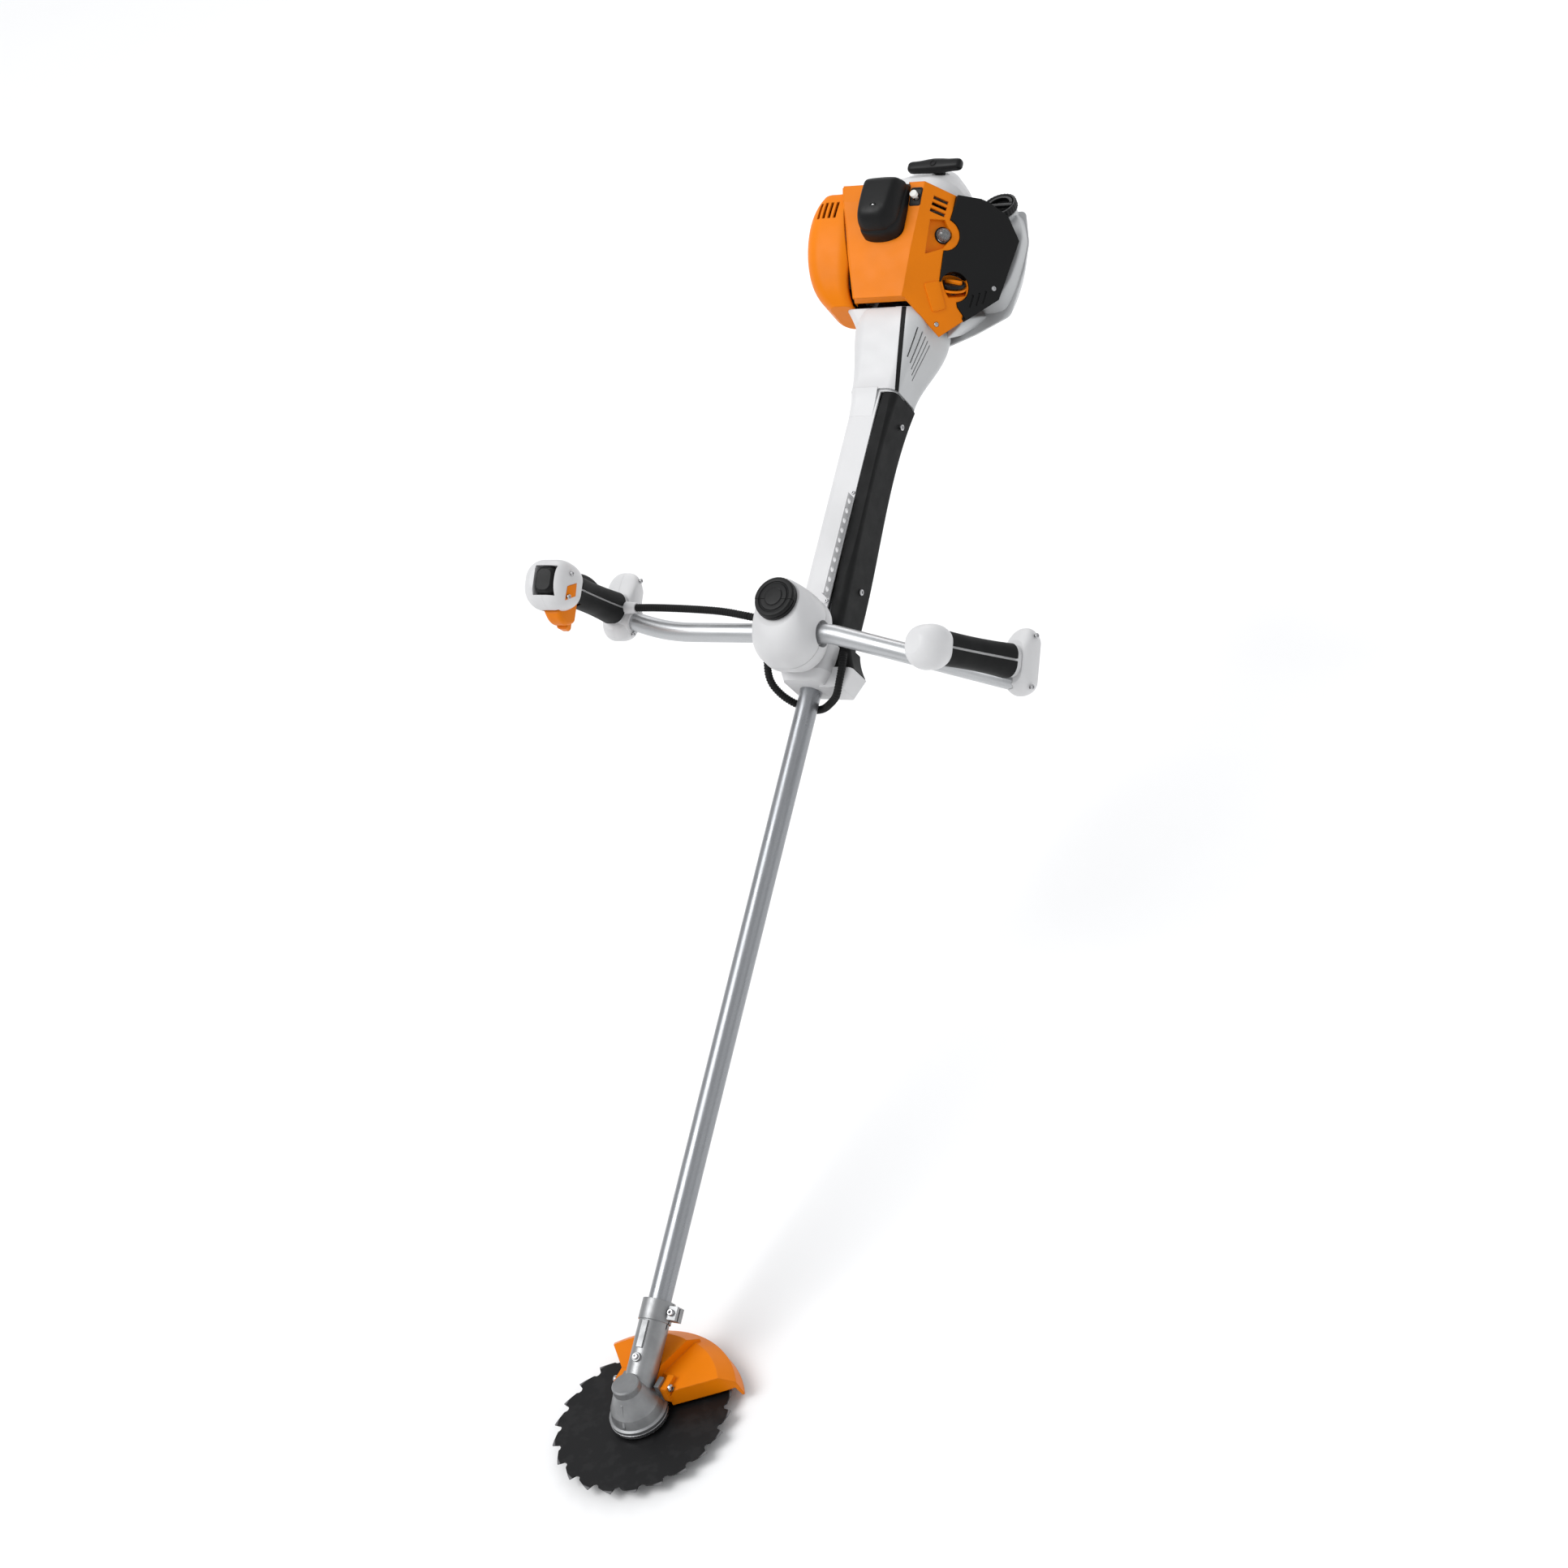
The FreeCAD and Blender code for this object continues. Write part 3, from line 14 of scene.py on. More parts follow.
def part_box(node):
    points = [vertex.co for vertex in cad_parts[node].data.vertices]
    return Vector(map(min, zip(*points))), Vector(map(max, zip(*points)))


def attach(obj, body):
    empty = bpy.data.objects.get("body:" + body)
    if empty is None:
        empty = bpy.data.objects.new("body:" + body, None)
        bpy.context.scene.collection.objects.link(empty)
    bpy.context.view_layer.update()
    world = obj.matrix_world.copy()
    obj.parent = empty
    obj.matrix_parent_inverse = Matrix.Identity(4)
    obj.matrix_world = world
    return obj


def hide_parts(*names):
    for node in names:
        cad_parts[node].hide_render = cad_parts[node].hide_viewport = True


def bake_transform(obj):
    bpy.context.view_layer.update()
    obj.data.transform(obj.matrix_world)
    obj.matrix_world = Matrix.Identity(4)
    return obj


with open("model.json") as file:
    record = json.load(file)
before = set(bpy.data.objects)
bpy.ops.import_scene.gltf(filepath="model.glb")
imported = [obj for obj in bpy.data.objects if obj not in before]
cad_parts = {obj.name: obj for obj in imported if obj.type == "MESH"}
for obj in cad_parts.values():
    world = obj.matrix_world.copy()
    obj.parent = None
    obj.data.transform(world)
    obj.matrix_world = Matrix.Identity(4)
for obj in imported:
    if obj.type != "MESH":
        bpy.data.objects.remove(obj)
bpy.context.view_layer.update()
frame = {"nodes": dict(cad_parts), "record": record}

# ---- frames ----
TILT = math.radians(62.0)
ORIGIN_MM = Vector((10.5, 953.5812, 551.7646))
SIDE = Vector((1.0, 0.0, 0.0))
TOP = Vector((0.0, -math.cos(TILT), math.sin(TILT)))
ALONG = Vector((0.0, math.sin(TILT), math.cos(TILT)))
MM = 0.001
ROOT = "engine_and_shaft"
FLOOR_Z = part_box("rider_plate")[0][2]


def place(side, top, along):
    """A point given in the shaft frame, in metres in the row frame."""
    return (SIDE * side + TOP * top + ALONG * along - ORIGIN_MM) * MM


def head_place(x, y, z):
    """A point given in the cutting head's frame, in metres in the row frame."""
    return (Vector((x, y, z)) - ORIGIN_MM) * MM


# ---- material nodes ----
class Paint:
    """A Principled material and the short calls that wire textures into it."""

    def __init__(self, name, colour, roughness, metallic=0.0):
        self.material = bpy.data.materials.new(name)
        self.material.use_nodes = True
        self.tree = self.material.node_tree
        self.shader = next(node for node in self.tree.nodes if node.type == "BSDF_PRINCIPLED")
        self.shader.inputs["Base Color"].default_value = (*colour, 1.0)
        self.shader.inputs["Roughness"].default_value = roughness
        self.shader.inputs["Metallic"].default_value = metallic
        self.coords = self.node("ShaderNodeTexCoord").outputs["Object"]
        self.material.diffuse_color = (*colour, 1.0)

    def node(self, kind, **values):
        made = self.tree.nodes.new(kind)
        for name, value in values.items():
            setattr(made, name, value)
        return made

    def link(self, source, target):
        self.tree.links.new(source, target)

    def mapped(self, scale, turn=(0.0, 0.0, 0.0), origin=(0.0, 0.0, 0.0)):
        mapping = self.node("ShaderNodeMapping")
        mapping.inputs["Scale"].default_value = scale
        mapping.inputs["Rotation"].default_value = turn
        mapping.inputs["Location"].default_value = origin
        self.link(self.coords, mapping.inputs["Vector"])
        return mapping.outputs["Vector"]

    def noise(self, scale, detail=3.0, vector=None):
        made = self.node("ShaderNodeTexNoise")
        made.inputs["Scale"].default_value = scale
        made.inputs["Detail"].default_value = detail
        self.link(vector or self.coords, made.inputs["Vector"])
        return made.outputs["Fac"]

    def mapped_range(self, source, low, high, out_low, out_high):
        made = self.node("ShaderNodeMapRange")
        for key, value in (("From Min", low), ("From Max", high), ("To Min", out_low), ("To Max", out_high)):
            made.inputs[key].default_value = value
        self.link(source, made.inputs["Value"])
        return made.outputs["Result"]

    def mixed(self, factor, first, second):
        """A colour between two colours or sockets."""
        made = self.node("ShaderNodeMix", data_type="RGBA")
        self.link(factor, made.inputs[0])
        for socket, value in ((made.inputs[6], first), (made.inputs[7], second)):
            if isinstance(value, tuple):
                socket.default_value = (*value, 1.0)
            else:
                self.link(value, socket)
        return made.outputs[2]

    def colour(self, source):
        self.link(source, self.shader.inputs["Base Color"])

    def rough(self, source):
        self.link(source, self.shader.inputs["Roughness"])

    def bump(self, *layers, edge=0.0):
        """Bump from (height, strength, distance in metres) layers, over edges softened by a radius."""
        normal = None
        if edge:
            bevel = self.node("ShaderNodeBevel", samples=4)
            bevel.inputs["Radius"].default_value = edge
            normal = bevel.outputs["Normal"]
        for height, strength, distance in layers:
            made = self.node("ShaderNodeBump")
            made.inputs["Strength"].default_value = strength
            made.inputs["Distance"].default_value = distance
            self.link(height, made.inputs["Height"])
            if normal:
                self.link(normal, made.inputs["Normal"])
            normal = made.outputs["Normal"]
        self.link(normal, self.shader.inputs["Normal"])


def tint(colour, factor):
    return tuple(min(1.0, channel * factor) for channel in colour)


def moulded(name, colour, roughness, grain=0.12, specular=0.5, edge=0.0009):
    """Moulded plastic: a fine spark-eroded grain, faint flow marks and a little wear in the gloss."""
    paint = Paint(name, colour, roughness)
    flow = paint.noise(9.0, 4.0)
    share = paint.mapped_range(flow, 0.35, 0.65, 0.0, 1.0)
    paint.colour(paint.mixed(share, tint(colour, 0.93), tint(colour, 1.05)))
    smudge = paint.noise(38.0, 5.0)
    paint.rough(paint.mapped_range(smudge, 0.3, 0.7, roughness - 0.05, roughness + 0.07))
    paint.bump((paint.noise(1700.0, 2.0), grain, 0.00025), (paint.noise(90.0, 2.0), 0.04, 0.0008), edge=edge)
    paint.shader.inputs["Specular IOR Level"].default_value = specular
    return paint


def rubber(name, colour, roughness=0.62):
    paint = moulded(name, colour, roughness, grain=0.3, specular=0.2)
    dust = paint.noise(60.0, 6.0)
    paint.colour(paint.mixed(paint.mapped_range(dust, 0.45, 0.8, 0.0, 1.0), colour, tint(colour, 1.6)))
    return paint


def cast_metal():
    """Sand-blasted aluminium casting with small pits and darker hollows."""
    colour = (0.30, 0.305, 0.31)
    paint = Paint("cast_aluminium_look", colour, 0.42, 0.85)
    blotch = paint.noise(45.0, 5.0)
    share = paint.mapped_range(blotch, 0.3, 0.7, 0.0, 1.0)
    paint.colour(paint.mixed(share, tint(colour, 0.86), tint(colour, 1.14)))
    paint.rough(paint.mapped_range(blotch, 0.3, 0.7, 0.48, 0.36))
    paint.bump((paint.noise(950.0, 3.0), 0.28, 0.0004), (paint.noise(120.0, 3.0), 0.12, 0.001), edge=0.001)
    return paint


def drawn_tube(name, direction_turn, colour=(0.31, 0.32, 0.335), roughness=0.28):
    """Anodised tube: fine draw lines along it and soft bands in the gloss."""
    paint = Paint(name, colour, roughness, 0.75)
    lines = paint.noise(1.0, 4.0, paint.mapped((900.0, 12.0, 900.0), direction_turn))
    share = paint.mapped_range(lines, 0.3, 0.7, 0.0, 1.0)
    paint.colour(paint.mixed(share, tint(colour, 0.94), tint(colour, 1.05)))
    paint.rough(paint.mapped_range(paint.noise(20.0, 4.0), 0.3, 0.7, roughness - 0.05, roughness + 0.08))
    paint.bump((lines, 0.06, 0.0002), edge=0.0005)
    return paint


def bright_steel(name, colour=(0.50, 0.50, 0.51), roughness=0.25):
    paint = Paint(name, colour, roughness, 1.0)
    wipe = paint.noise(160.0, 4.0)
    paint.rough(paint.mapped_range(wipe, 0.3, 0.7, roughness - 0.06, roughness + 0.12))
    paint.colour(paint.mixed(wipe, tint(colour, 0.9), tint(colour, 1.08)))
    paint.bump((paint.noise(700.0, 2.0), 0.08, 0.0002), edge=0.0004)
    return paint


def blade_paint():
    """Black lacquer over turned steel: faint rings about the blade's axis, bare metal at the tooth tips."""
    colour = (0.006, 0.006, 0.0065)
    paint = Paint("blade_look", colour, 0.45, 0.0)
    paint.shader.inputs["Specular IOR Level"].default_value = 0.25
    centre = paint.mapped((1.0, 1.0, 1.0), origin=tuple(-head_place(0, 0, 0)))
    split = paint.node("ShaderNodeSeparateXYZ")
    paint.link(centre, split.inputs["Vector"])
    flat = paint.node("ShaderNodeCombineXYZ")
    paint.link(split.outputs["X"], flat.inputs["X"])
    paint.link(split.outputs["Y"], flat.inputs["Y"])
    radius = paint.node("ShaderNodeVectorMath", operation="LENGTH")
    paint.link(flat.outputs["Vector"], radius.inputs[0])
    distance = radius.outputs["Value"]
    ring_noise = paint.node("ShaderNodeTexNoise", noise_dimensions="1D")
    ring_noise.inputs["Scale"].default_value = 1600.0
    paint.link(distance, ring_noise.inputs["W"])
    tip = paint.mapped_range(distance, 0.1085, 0.1100, 0.0, 1.0)
    scratch = paint.mapped_range(paint.noise(70.0, 6.0), 0.5, 0.62, 0.0, 0.5)
    lacquer = paint.mixed(scratch, colour, (0.016, 0.016, 0.0165))
    paint.colour(paint.mixed(tip, lacquer, (0.16, 0.16, 0.165)))
    paint.rough(paint.mapped_range(ring_noise.outputs["Fac"], 0.3, 0.7, 0.36, 0.5))
    paint.bump((ring_noise.outputs["Fac"], 0.08, 0.0002), edge=0.0003)
    return paint


def clear_bulb():
    paint = Paint("bulb_look", (0.92, 0.93, 0.93), 0.06)
    paint.shader.inputs["Transmission Weight"].default_value = 0.9
    paint.shader.inputs["IOR"].default_value = 1.42
    paint.bump((paint.noise(60.0, 2.0), 0.05, 0.0005))
    return paint


def felt():
    colour = (0.55, 0.47, 0.30)
    paint = Paint("felt_look", colour, 0.95)
    pleat = paint.node("ShaderNodeTexWave", wave_type="BANDS", bands_direction="Y")
    pleat.inputs["Scale"].default_value = 60.0
    paint.link(paint.coords, pleat.inputs["Vector"])
    # the colour follows the pleat bands, darker in the folds and lighter on the crests: painted shade and
    # painted highlight
    paint.colour(paint.mixed(pleat.outputs["Fac"], tint(colour, 0.7), tint(colour, 1.2)))
    paint.bump((pleat.outputs["Fac"], 0.6, 0.002))
    return paint


def cord_look():
    colour = (0.75, 0.74, 0.70)
    paint = Paint("cord_look", colour, 0.9)
    weave = paint.node("ShaderNodeTexWave", wave_type="BANDS", bands_direction="DIAGONAL")
    weave.inputs["Scale"].default_value = 260.0
    paint.link(paint.coords, weave.inputs["Vector"])
    # the colour follows the weave bands, darker in the grooves between the strands: painted shade
    paint.colour(paint.mixed(weave.outputs["Fac"], tint(colour, 0.6), colour))
    paint.bump((weave.outputs["Fac"], 0.5, 0.0005))
    return paint


ORANGE = (0.80, 0.205, 0.001)
WHITE = (0.66, 0.66, 0.665)
BLACK = (0.005, 0.0052, 0.0055)
GREY = (0.52, 0.53, 0.535)
SHAFT_TURN = (math.radians(-28.0), 0.0, 0.0)

LOOKS = {
    "orange_plastic": moulded("orange_look", ORANGE, 0.40, grain=0.05, specular=0.14, edge=0.002),
    "white_plastic": moulded("white_look", WHITE, 0.42, grain=0.08),
    "black_plastic": moulded("black_look", BLACK, 0.42, grain=0.18, specular=0.22),
    "black_rubber": rubber("rubber_look", (0.0065, 0.0068, 0.007)),
    "tank_plastic": moulded("tank_look", GREY, 0.36, grain=0.06),
    "cast_aluminium": cast_metal(),
    "tube_aluminium": drawn_tube("shaft_tube_look", SHAFT_TURN),
    "blade_steel": blade_paint(),
    "steel": bright_steel("zinc_look"),
    "dark_steel": bright_steel("dark_steel_look", (0.14, 0.14, 0.145), 0.4),
    "clear_plastic": clear_bulb(),
    "white_button": moulded("button_look", (0.85, 0.85, 0.82), 0.25, grain=0.03),
    "filter_felt": felt(),
    "rope": cord_look(),
}


# ---- mesh building, in a piece's own millimetres ----
def direction(side, top, along):
    return (SIDE * side + TOP * top + ALONG * along).normalized()


def seat_on(origin, x_axis, z_axis):
    """The matrix from a piece's millimetres to the row frame, from a row-frame origin and two directions."""
    z_unit = z_axis.normalized()
    y_unit = z_unit.cross(x_axis).normalized()
    turn = Matrix((y_unit.cross(z_unit), y_unit, z_unit)).transposed().to_4x4()
    return Matrix.Translation(origin) @ turn @ Matrix.Scale(MM, 4)


def seat(origin, x_dir, z_dir):
    """The same from (side, top, along) triples of the shaft frame."""
    return seat_on(place(*origin), direction(*x_dir), direction(*z_dir))


def shifted(part, where):
    verts, faces = part
    return [where @ Vector(vert) for vert in verts], faces


def merged(*parts):
    """Several (vertices, faces) parts as one."""
    verts = []
    faces = []
    for part_verts, part_faces in parts:
        base = len(verts)
        verts += part_verts
        faces += [tuple(base + index for index in face) for face in part_faces]
    return verts, faces


def ring_faces(rings):
    """Faces between following rings of vertex numbers, where a ring of one vertex closes the end."""
    faces = []
    for low, high in zip(rings, rings[1:]):
        count = max(len(low), len(high))
        for index in range(count):
            after = (index + 1) % count
            corners = [low[index % len(low)], low[after % len(low)]]
            corners += [high[after % len(high)], high[index % len(high)]]
            faces.append(tuple(dict.fromkeys(corners)))
    return [face for face in faces if len(face) > 2]


def lathe(profile, turns=72, lobes=0, lobe_depth=0.0, lobe_from=0.0):
    """A body of revolution about z from (radius, height) points, with lobes on radii above lobe_from."""
    verts = []
    rings = []
    for radius, height in profile:
        start = len(verts)
        if radius < 0.001:
            verts.append(Vector((0, 0, height)))
        else:
            lobe = lobe_depth if lobes and radius > lobe_from else 0.0
            for index in range(turns):
                angle = 2 * math.pi * index / turns
                reach = radius - lobe * (0.5 + 0.5 * math.cos(lobes * angle))
                verts.append(Vector((reach * math.cos(angle), reach * math.sin(angle), height)))
        rings.append(list(range(start, len(verts))))
    return verts, ring_faces(rings)


def eased(points, reach, steps=5):
    """A polyline with each inner corner rounded over at most reach on either side."""
    points = [Vector(point) for point in points]
    result = [points[0]]
    for before, corner, after in zip(points, points[1:], points[2:]):
        cut_in = min(reach, 0.45 * (before - corner).length)
        cut_out = min(reach, 0.45 * (after - corner).length)
        start = corner + (before - corner).normalized() * cut_in
        end = corner + (after - corner).normalized() * cut_out
        for step in range(steps + 1):
            t = step / steps
            result.append(start * (1 - t) ** 2 + corner * 2 * t * (1 - t) + end * t ** 2)
    result.append(points[-1])
    return result


def soft_lathe(profile, reach, **options):
    """A lathe part whose profile corners are rounded."""
    return lathe([(point.x, point.y) for point in eased([(r, z) for r, z in profile], reach, 3)], **options)


def spaced(path, step):
    """Points at an even spacing along a polyline."""
    result = [path[0]]
    left = step
    for start, end in zip(path, path[1:]):
        length = (end - start).length
        done = 0.0
        while length - done > left:
            done += left
            result.append(start.lerp(end, done / length))
            left = step
        left -= length - done
    return result + [path[-1]]


def sweep(path, radius_at, turns=20):
    """A round body along evenly spaced points, with its radius given by the point's number."""
    verts = []
    rings = []
    normal = None
    for index, point in enumerate(path):
        tangent = (path[min(index + 1, len(path) - 1)] - path[max(index - 1, 0)]).normalized()
        normal = tangent.orthogonal() if normal is None else normal - tangent * normal.dot(tangent)
        normal.normalize()
        other = tangent.cross(normal)
        start = len(verts)
        for turn in range(turns):
            angle = 2 * math.pi * turn / turns
            verts.append(point + (normal * math.cos(angle) + other * math.sin(angle)) * radius_at(index))
        rings.append(list(range(start, len(verts))))
    return verts, ring_faces(rings) + [tuple(rings[0]), tuple(rings[-1])]


def oval_loft(sections, power=3.0, turns=40):
    """A closed body through (z, centre x, centre y, half x, half y) sections, each a squared oval."""
    verts = []
    rings = []
    for z, x, y, half_x, half_y in sections:
        start = len(verts)
        for index in range(turns):
            angle = 2 * math.pi * index / turns
            across = math.copysign(abs(math.cos(angle)) ** (2 / power), math.cos(angle))
            upward = math.copysign(abs(math.sin(angle)) ** (2 / power), math.sin(angle))
            verts.append(Vector((x + half_x * across, y + half_y * upward, z)))
        rings.append(list(range(start, len(verts))))
    return verts, ring_faces(rings) + [tuple(rings[0]), tuple(rings[-1])]


def slab(outline, low, high, rounding=0.8):
    """A plate over a closed outline, with its upper edge rounded."""
    made = bmesh.new()
    face = made.faces.new([made.verts.new((x, y, high)) for x, y in outline])
    lifted = bmesh.ops.extrude_face_region(made, geom=[face])["geom"]
    top_edges = list(face.edges)
    for item in lifted:
        if isinstance(item, bmesh.types.BMVert):
            item.co.z = low
    bmesh.ops.bevel(made, geom=top_edges, offset=rounding, segments=3, affect="EDGES", profile=0.5)
    made.verts.index_update()
    verts = [vert.co.copy() for vert in made.verts]
    faces = [tuple(vert.index for vert in found.verts) for found in made.faces]
    made.free()
    return verts, faces


def cornered(outline, reach):
    """A closed outline with two points in place of each corner."""
    result = []
    count = len(outline)
    for index, corner in enumerate(outline):
        here = Vector(corner)
        for other in (Vector(outline[index - 1]), Vector(outline[(index + 1) % count])):
            step = min(reach, 0.4 * (other - here).length)
            result.append(tuple(here + (other - here).normalized() * step))
    return result


def softened(outline, reach, steps=5):
    """A closed outline with rounded corners."""
    looped = [outline[-1], *outline, outline[0]]
    return [tuple(point) for point in eased(looped, reach, steps)[1:-1]]


def star_screw(radius, height, turns=48):
    """A pan-head screw with a six-lobed socket, its head standing up from z = 0."""
    shape = [(1.0, 0.0, 0.0), (1.0, 0.0, 0.55), (0.93, 0.0, 0.82), (0.78, 0.0, 1.0)]
    shape += [(0.62, 0.0, 1.0), (0.50, 0.07, 1.0), (0.47, 0.07, 0.9), (0.45, 0.07, 0.25)]
    verts = []
    rings = []
    for share, lobe, level in shape:
        start = len(verts)
        for index in range(turns):
            angle = 2 * math.pi * index / turns
            reach = radius * (share + lobe * math.cos(6 * angle))
            verts.append(Vector((reach * math.cos(angle), reach * math.sin(angle), height * level)))
        rings.append(list(range(start, len(verts))))
    rings.append([len(verts)])
    verts.append(Vector((0, 0, height * 0.2)))
    return verts, ring_faces(rings)


def half_of(part, y_cut, keep_above):
    """The part on one side of the plane y = y_cut, closed along the cut."""
    verts, faces = part
    made = bmesh.new()
    corners = [made.verts.new(vert) for vert in verts]
    for face in faces:
        made.faces.new([corners[index] for index in face])
    side = -1.0 if keep_above else 1.0
    everything = [*made.verts, *made.edges, *made.faces]
    cut = bmesh.ops.bisect_plane(made, geom=everything, plane_co=(0, y_cut, 0), plane_no=(0, side, 0),
                                 clear_outer=True)
    rim = [item for item in cut["geom_cut"] if isinstance(item, bmesh.types.BMEdge)]
    bmesh.ops.holes_fill(made, edges=rim)
    made.verts.index_update()
    result = [vert.co.copy() for vert in made.verts]
    kept = [tuple(vert.index for vert in face.verts) for face in made.faces]
    made.free()
    return result, kept


def piece(name, part, look, body, stands_for=(), sharp=38.0):
    """Makes the object from a row-frame part, and says what it rides on and what it stands for."""
    mesh = bpy.data.meshes.new(name)
    mesh.from_pydata(part[0], [], part[1])
    shell = bmesh.new()
    shell.from_mesh(mesh)
    bmesh.ops.recalc_face_normals(shell, faces=shell.faces)
    shell.to_mesh(mesh)
    shell.free()
    mesh.polygons.foreach_set("use_smooth", [True] * len(mesh.polygons))
    mesh.set_sharp_from_angle(angle=math.radians(sharp))
    mesh.materials.append(LOOKS[look].material)
    made = bpy.data.objects.new(name, mesh)
    bpy.context.scene.collection.objects.link(made)
    if body:
        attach(made, body)
    if stands_for:
        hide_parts(*stands_for)
    return made


# ---- right facet of the engine shroud ----
FACET = seat((34, 70, 1455), (0.622, -0.783, 0), (0.774, 0.615, -0.151))


def facet_seat(x, y, z):
    return FACET @ Matrix.Translation((x, y, z))


# the purge bulb's place on the recess floor, its sideways direction and the way it faces
PURGE_SEAT = seat((60.5, 50.2, 1557), (0.622, -0.783, 0), (0.774, 0.615, -0.151))


def purge():
    """A clear bulb with a thick foot over a small nozzle, in a dark seat on the recess floor."""
    outside = [math.radians(degrees) for degrees in range(5, 90, 8)]
    inside = [math.radians(degrees) for degrees in range(82, 4, -8)]
    dome = [(9.6, 0.0), (9.9, 0.6), (9.9, 2.4), (9.3, 3.2)]
    dome += [(9.2 * math.cos(angle), 4.0 + 9.6 * math.sin(angle)) for angle in outside]
    dome += [(0.0, 13.6), (0.0, 12.4)]
    dome += [(8.0 * math.cos(angle), 4.0 + 8.4 * math.sin(angle)) for angle in inside]
    dome += [(7.9, 1.2), (0.0, 1.0), (0.0, 0.0), (9.6, 0.0)]
    piece("purge_dome", shifted(lathe(dome), PURGE_SEAT), "clear_plastic", "purge", ["purge_bulb"])
    nozzle = soft_lathe([(0, 1.2), (6.8, 1.2), (6.8, 2.0), (2.4, 2.4), (2.0, 7.5), (0, 7.8)], 0.5)
    piece("purge_nozzle", shifted(nozzle, PURGE_SEAT), "black_rubber", "purge")
    profile = [(9.98, -1.0), (11.5, -1.0), (11.3, 2.6), (10.4, 3.2), (9.98, 2.6), (9.98, -1.0)]
    collar = soft_lathe(profile, 0.3)
    piece("purge_collar", shifted(collar, PURGE_SEAT), "black_rubber", ROOT)


def choke():
    where = seat((76, 19, 1498), (1, 0, 0), (0.24, 0.71, 0.67))
    dial = soft_lathe([(0, -9), (5, -9), (5, 0), (15.5, 0), (15.5, 5), (12.6, 5), (12.2, 4.3), (0, 4.3)], 0.6,
                      lobes=24, lobe_depth=0.35, lobe_from=15.0, turns=144)
    piece("choke_dial", shifted(dial, where), "black_plastic", "choke", ["choke_knob"])
    bar = slab(softened([(-12, -3.0), (12, -3.0), (12, 3.0), (-12, 3.0)], 2.6), 3.6, 8.6, 0.7)
    piece("choke_bar", shifted(bar, where), "orange_plastic", "choke")
    profile = [(5.7, -4.2), (17.15, -4.2), (17.15, -0.6), (15.0, -2.2), (5.7, -2.2), (5.7, -4.2)]
    floor = soft_lathe(profile, 0.4)
    piece("choke_floor", shifted(floor, where), "orange_plastic", ROOT)


def facet_trim():
    """The raised pad beside the choke, and the screws in their dimples."""
    pad = slab(softened([(24, 28), (47, -4), (63, 8), (43, 40)], 4.0), -0.3, 1.6, 0.9)
    piece("choke_pad", shifted(pad, FACET), "orange_plastic", ROOT)
    screws = [shifted(star_screw(3.2, 1.8), facet_seat(57, -17, -1.4)),
              shifted(star_screw(3.6, 1.4), facet_seat(119, 60, -0.4)),
              shifted(star_screw(3.3, 1.6), CAP_SCREW_SEAT)]
    piece("cover_screws", merged(*screws), "steel", ROOT)


CAP_SCREW_SEAT = seat((-8, 124.2, 1561), (1, 0, 0), (0, 0.88, -0.47))


def plug_cover():
    """The black cover over the spark plug, its foot on the shroud, with a rimmed screw."""
    levels = [(89.5, [(-38, 1613), (-38, 1541), (-27, 1532), (8, 1532), (23, 1547), (24.5, 1613)]),
              (112, [(-37, 1610), (-36, 1545), (-26, 1537), (5, 1537), (19, 1551), (22, 1610)]),
              (124, [(-34, 1607), (-33, 1555), (-24, 1548), (2, 1548), (14, 1560), (17, 1607)]),
              (127, [(-28, 1601), (-27, 1563), (-20, 1557), (-2, 1557), (8, 1566), (11, 1601)])]
    moulded_body("plug_cover", levels, 3.5, "black_plastic", ROOT, ["spark_plug_cap"])
    foot = [(-39, 1613), (-39, 1541), (-28, 1530), (9, 1530), (25, 1545), (25.5, 1613)]
    moulded_body("plug_cover_foot", [(76, foot), (80, foot), (102, levels[0][1]), (106, levels[1][1])], 7.0,
                 "black_plastic", ROOT)
    rim = soft_lathe([(3.6, -3), (3.6, 1.6), (4.3, 2.4), (5.4, 1.6), (5.8, -3), (3.6, -3)], 0.5)
    piece("plug_cover_rim", shifted(rim, CAP_SCREW_SEAT), "black_plastic", ROOT)


def seam_filler():
    """The orange lip that closes the seam between the shroud and the muffler guard."""
    path = [place(side, top, along) for side, top, along in
            ((-38.5, 67.6, 1457), (-56.0, 80.6, 1520), (-74.6, 93.4, 1590), (-79.4, 95.4, 1612))]
    piece("shroud_seam_lip", sweep(spaced(path, 0.002), lambda index: 2.6 * MM), "orange_plastic", ROOT)


HOOD_EDGE = (31, 54, 1455)
HOOD_ACROSS = (0.855, -0.465, 0.131)
SKIRT_RIGHT = 9.0


